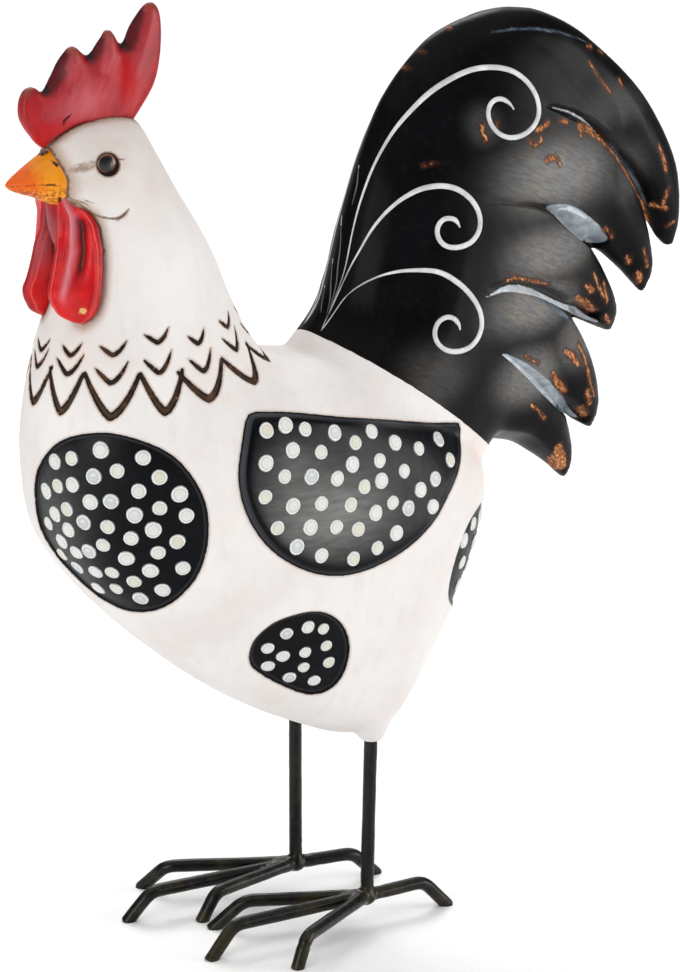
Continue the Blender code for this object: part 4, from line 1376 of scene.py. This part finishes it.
# front edge x, y / back edge x, y / z / half thickness, top to bottom
WATTLE = (
    (5.5, -142.8, 11, -139.5, 358, 2.5), (5.5, -143.0, 15.5, -137.1, 354.3, 3.4),
    (5.6, -143.4, 20, -134.4, 350.8, 3.8), (6.0, -143.8, 22.6, -132.5, 345.8, 4.0),
    (6.6, -144.4, 23.6, -132, 340.8, 4.1), (8.2, -146.2, 24, -131.1, 335.8, 4.3),
    (8.9, -147.5, 24.2, -131.2, 330.8, 4.5), (9.5, -149, 24.5, -131.4, 325.8, 4.7),
    (10.1, -150.5, 25, -132, 320.8, 4.9), (11, -151.8, 25.5, -132.7, 316.8, 5.0),
    (11.3, -151.3, 25.5, -133.6, 312.8, 5.0), (11.8, -149.4, 25.2, -134.7, 309.2, 4.8),
    (13, -147.4, 24.5, -136.4, 306.3, 4.0), (15.5, -143.3, 22.5, -138.6, 303.8, 2.6),
    (17.5, -139.7, 20, -139.3, 302.6, 1.0),
)
THROAT = (
    (-7, -141.0, 7.5, -142.0, 358, 3.5), (-6.5, -141.0, 7.5, -142.5, 350, 3.6),
    (-5, -140.5, 7, -142.5, 342, 3.4), (-2.5, -139, 5.5, -141.5, 335, 2.6), (0, -137.5, 3, -139, 330, 1.2),
)
# folds of the outer face, -1 at the front edge to +1 at the back: z, the raised fold,
# the deep hollow behind it, the groove before it
WATTLE_FOLDS = (
    (303, -0.3, 0.1, -0.5), (314.7, -0.39, 0.1, -0.5), (319, -0.34, 0.12, -0.5),
    (324.6, -0.30, 0.14, -0.49), (330.5, -0.23, 0.2, -0.47), (336, -0.17, 0.23, -0.43),
    (341, -0.13, 0.24, -0.38), (346, -0.08, 0.26, -0.32), (351, 0.05, 0.34, -0.2), (357, 0.3, 0.6, 0.0),
)
# side, name, how much lower the lobe hangs, how much its foot is turned in along the bird
LOBES = ((1, "wattle_left", 0.0, 0.0), (-1, "wattle_right", 2.5, 0.36))
SCUFF_SPOT = (-142.0, 309.3)         # y, z of a worn spot at the foot of each lobe


def wattle_section(side, drop):
    """Flat oval section between a front and a back edge, the lobe's foot let down by drop."""
    def section(row, turn):
        x0, y0, x1, y1, z, half = row
        z -= drop * rise(-z, -350.0, -320.0)
        front, back = Vector((side * x0, y0, z)), Vector((side * x1, y1, z))
        out = side * Vector((y1 - y0, -side * (x1 - x0), 0.0)).normalized()
        c, s = round_turn(turn)
        return front.lerp(back, 0.5 - 0.5 * c) + out * (half * s)

    return section


wattle_finish, at = new_finish("red_lacquer_wattle")
streak = at.grain(1.3, 4.0, 0.65, stretch=(1, 1, 7))
# pink on the folds and inner faces: partly dry-brush and partly a painted sheen
haze = (at.mark("haze") * (0.3 + at.grain(2.2, 4.0, 0.6, stretch=(1, 1, 5), shift=5.0) * 1.1)).held()
rim = at.uneven("rim", 0.8, 3.0, 2.0, shift=4.0)
red = coats(
    at.grain(9.0, 3.0).between(0.35, 0.7).over((208, 16, 20), (180, 10, 18)),
    (streak.between(0.5, 0.75) * 0.5, (120, 6, 14)),
    (haze * 0.85, (206, 122, 132)),
    # dark in the outer hollow; on the inner faces this is a painted shadow toward the back, in the gap
    # between the lobes
    ((at.mark("hollow") + (streak - 0.5) * 0.6).between(0.3, 1.0) * 0.88, (58, 14, 16)),
    (rim.near(1.7, 0.15, 0.5) * 0.25, (224, 140, 130)),
    (rim.below(0.2, 1.1) * 0.5, (92, 14, 24)),
    (at.uneven("scuff", 1.6, 1.2, 3.0).below(1.0, 1.7), (216, 176, 104)),
)
relief = streak * 0.16 + at.grain(0.7) * 0.02
close_finish(wattle_finish, red, 0.32 + streak * 0.15, relief, specular_ior_level=0.25)

wattle_trees = []
for side, name, drop, straight in LOBES:
    lobe = resample(WATTLE, 70, spacing=5)
    lobe[:, 2] *= 1 - straight * rise(-lobe[:, 4], -346.0, -324.0)
    bm = bmesh.new()
    loft(bm, lobe, sides=48, section=wattle_section(side, drop))
    if side == 1:
        loft(bm, resample(THROAT, 24, spacing=5), sides=24, section=wattle_section(1, 0.0))
    wattle = fuse(bm, voxel=0.6, passes=3)
    points = places(wattle)
    z = points[:, 2]
    level = z + drop * rise(-z, -350.0, -320.0 + drop)
    rows = np.array([np.interp(-level, -lobe[:, 4], lobe[:, k]) for k in range(4)]).T
    across = (rows[:, 2:] - rows[:, :2]) / 2
    half = np.linalg.norm(across, axis=1)
    off = points[:, :2] * (side, 1) - (rows[:, :2] + rows[:, 2:]) / 2
    a = (off * across).sum(axis=1) / half**2
    out = np.stack([across[:, 1], -across[:, 0], 0 * half], axis=1) / half[:, None]
    outer = rise((off * out[:, :2]).sum(axis=1), -0.5, 1.5)
    heights, *folds = np.array(WATTLE_FOLDS).T
    fold, hollow, groove = ((a - np.interp(z, heights, spots)) * half for spots in folds)
    high = rise(-z, -354.0, -346.0)
    ridge = bell(fold, 1.8) * rise(z, 309.0, 320.0)
    hollow = bell(hollow, 2.4) * rise(z, 318.0, 328.0) * high
    groove = bell(groove, 0.8) * rise(z, 316.0, 324.0)
    rim = (1 - np.abs(a)) * half
    dish = rise(rim, 1.2, 3.6) * rise(z, 303.5, 309.0) * high
    lift = (1.7 * ridge - 2.2 * hollow - 0.8 * groove - 1.2 * dish) * outer
    move(wattle, points + out * (side, 1, 1) * lift[:, None])
    wattle_trees.append(BVHTree.FromBMesh(wattle))
    # pink on the inner face toward the front: partly dry-brush and partly a painted sheen
    inner = (1 - outer) * rise(-a, -0.1, 0.8) * rise(z, 314.0, 336.0) * high
    # on the inner faces the hollow mark is a painted shadow in the gap between the lobes
    settle(name, wattle, wattle_finish, {
        "haze": 1.25 * ridge * outer + 0.65 * inner,
        "hollow": np.where(outer > 0.5, hollow, 0.75 * rise(a, -0.1, 0.8) * rise(z, 310.0, 326.0)),
        "rim": rim,
        "scuff": side_gap(points, *SCUFF_SPOT) + 9 * (1 - outer)})


# ---- dark wash and painted shadow round the comb, beak and wattles ----
# The antiquing wash has settled where the red and orange parts meet the white head, and
# painted shadow lies beside them on the head and neck, so the body is finished here with
# its distance from them.
points = places(body)
meet = np.full(len(points), FAR)
for k in np.flatnonzero((points[:, 1] < -80) & (points[:, 2] > 296)):
    spot = Vector(points[k])
    meet[k] = min(tree.find_nearest(spot)[3] for tree in (comb_tree, beak_tree, *wattle_trees))
settle("body", body, body_finish, {**body_marks, "meet": meet})


# ---- legs ----
# Quarter-inch mild steel rod: an upright with four toes welded to its foot, each toe
# bent down into a claw. Blacked and lacquered, a little wavy and olive where it is thin.
ROD_RADIUS = 3.175
BEND = 5.0                           # length of the bend on either side of its corner
WELD_RADIUS = 4.7
# node, slot, foot and top of the upright, bend and tip of each toe
LEGS = (
    ("left_leg", "dark_steel_left", (27.8, 3.0, 13.4), (28.2, 5.4, 111.0),
     (((5.2, -50.5, 14.0), (-4.0, -63.2, -0.9)), ((30.7, -71.1, 14.0), (32.1, -85.0, -0.9)),
      ((61.0, -50.5, 14.0), (62.5, -56.6, -0.9)), ((27.4, 35.0, 14.0), (27.4, 49.2, -0.9)))),
    ("right_leg", "dark_steel_right", (-29.6, -1.0, 13.4), (-29.6, -1.0, 111.0),
     (((-56.2, -57.5, 14.0), (-71.6, -63.0, -0.9)), ((-28.6, -81.5, 14.0), (-33.2, -92.2, -0.9)),
      ((-12.1, -55.5, 14.0), (-14.8, -62.3, -0.9)), ((-24.4, 28.0, 14.0), (-28.7, 44.6, -0.9)))),
)


def rod(bm, corners):
    """Round bar along a run of points."""
    ways = np.gradient(np.array(corners), axis=0)

    def section(k, turn):
        way = Vector(ways[k]).normalized()
        out = way.cross(Vector((0.2, 0.1, 1.0) if abs(way.z) < 0.9 else (1.0, 0.3, 0.0))).normalized()
        c, s = round_turn(turn)
        return corners[k] + (out * c + way.cross(out) * s) * ROD_RADIUS

    loft(bm, range(len(corners)), sides=24, section=section)


def bent(root, bend, tip):
    """Centre line of a toe: straight out, round the bend and down to the ground."""
    bend, tip = Vector(bend), Vector(tip)
    before = bend + (root - bend).normalized() * BEND
    after = bend + (tip - bend).normalized() * BEND
    curve = [before.lerp(bend, t).lerp(bend.lerp(after, t), t) for t in np.linspace(0, 1, 7)]
    return [root, root.lerp(before, 0.5), *curve, tip]


steel_finish, at = new_finish("blacked_steel_rod")
scale = at.grain(3.0, 4.0, 0.65)
steel = coats(
    scale.between(0.45, 0.75).over((13, 12, 10), (30, 28, 22)),
    (at.grain(14.0, 3.0, shift=8.0).between(0.48, 0.7) * 0.7, (52, 47, 26)),
)
relief = scale * 0.1 + at.grain(0.9, 3.0) * 0.03
close_finish(steel_finish, steel, 0.2 + scale * 0.2, relief, specular_ior_level=0.22)

weld_bead = [(WELD_RADIUS * math.sin(a), WELD_RADIUS * math.cos(a)) for a in np.linspace(0.001, 3.14, 14)]
for node, slot, foot, top, toes in LEGS:
    foot, top = Vector(foot), Vector(top)
    bm = bmesh.new()
    rod(bm, [foot.lerp(top, t) for t in (0, 0.3, 0.7, 1)])
    for toe in toes:
        rod(bm, bent(foot, *toe))
    turned(bm, foot, (0, 0.3, 1), weld_bead, sides=24)
    leg = fuse(bm, voxel=0.7, passes=2)
    points = places(leg)
    weld = bell(np.linalg.norm(points - np.array(foot), axis=1), 9.0)
    lift = (0.05 + 0.5 * weld) * rough_value(points, size=3.2, seed=6.0)
    swell(leg, lift + 0.14 * rough_value(points, size=12.0, seed=4.0))
    # ground flat where the claws rest on the floor
    bmesh.ops.bisect_plane(leg, geom=leg.verts[:] + leg.edges[:] + leg.faces[:], dist=1e-4,
                           plane_co=(0, 0, 0), plane_no=(0, 0, 1), clear_inner=True)
    seal(leg)
    settle("steel_" + node, leg, steel_finish, None, node, slot)
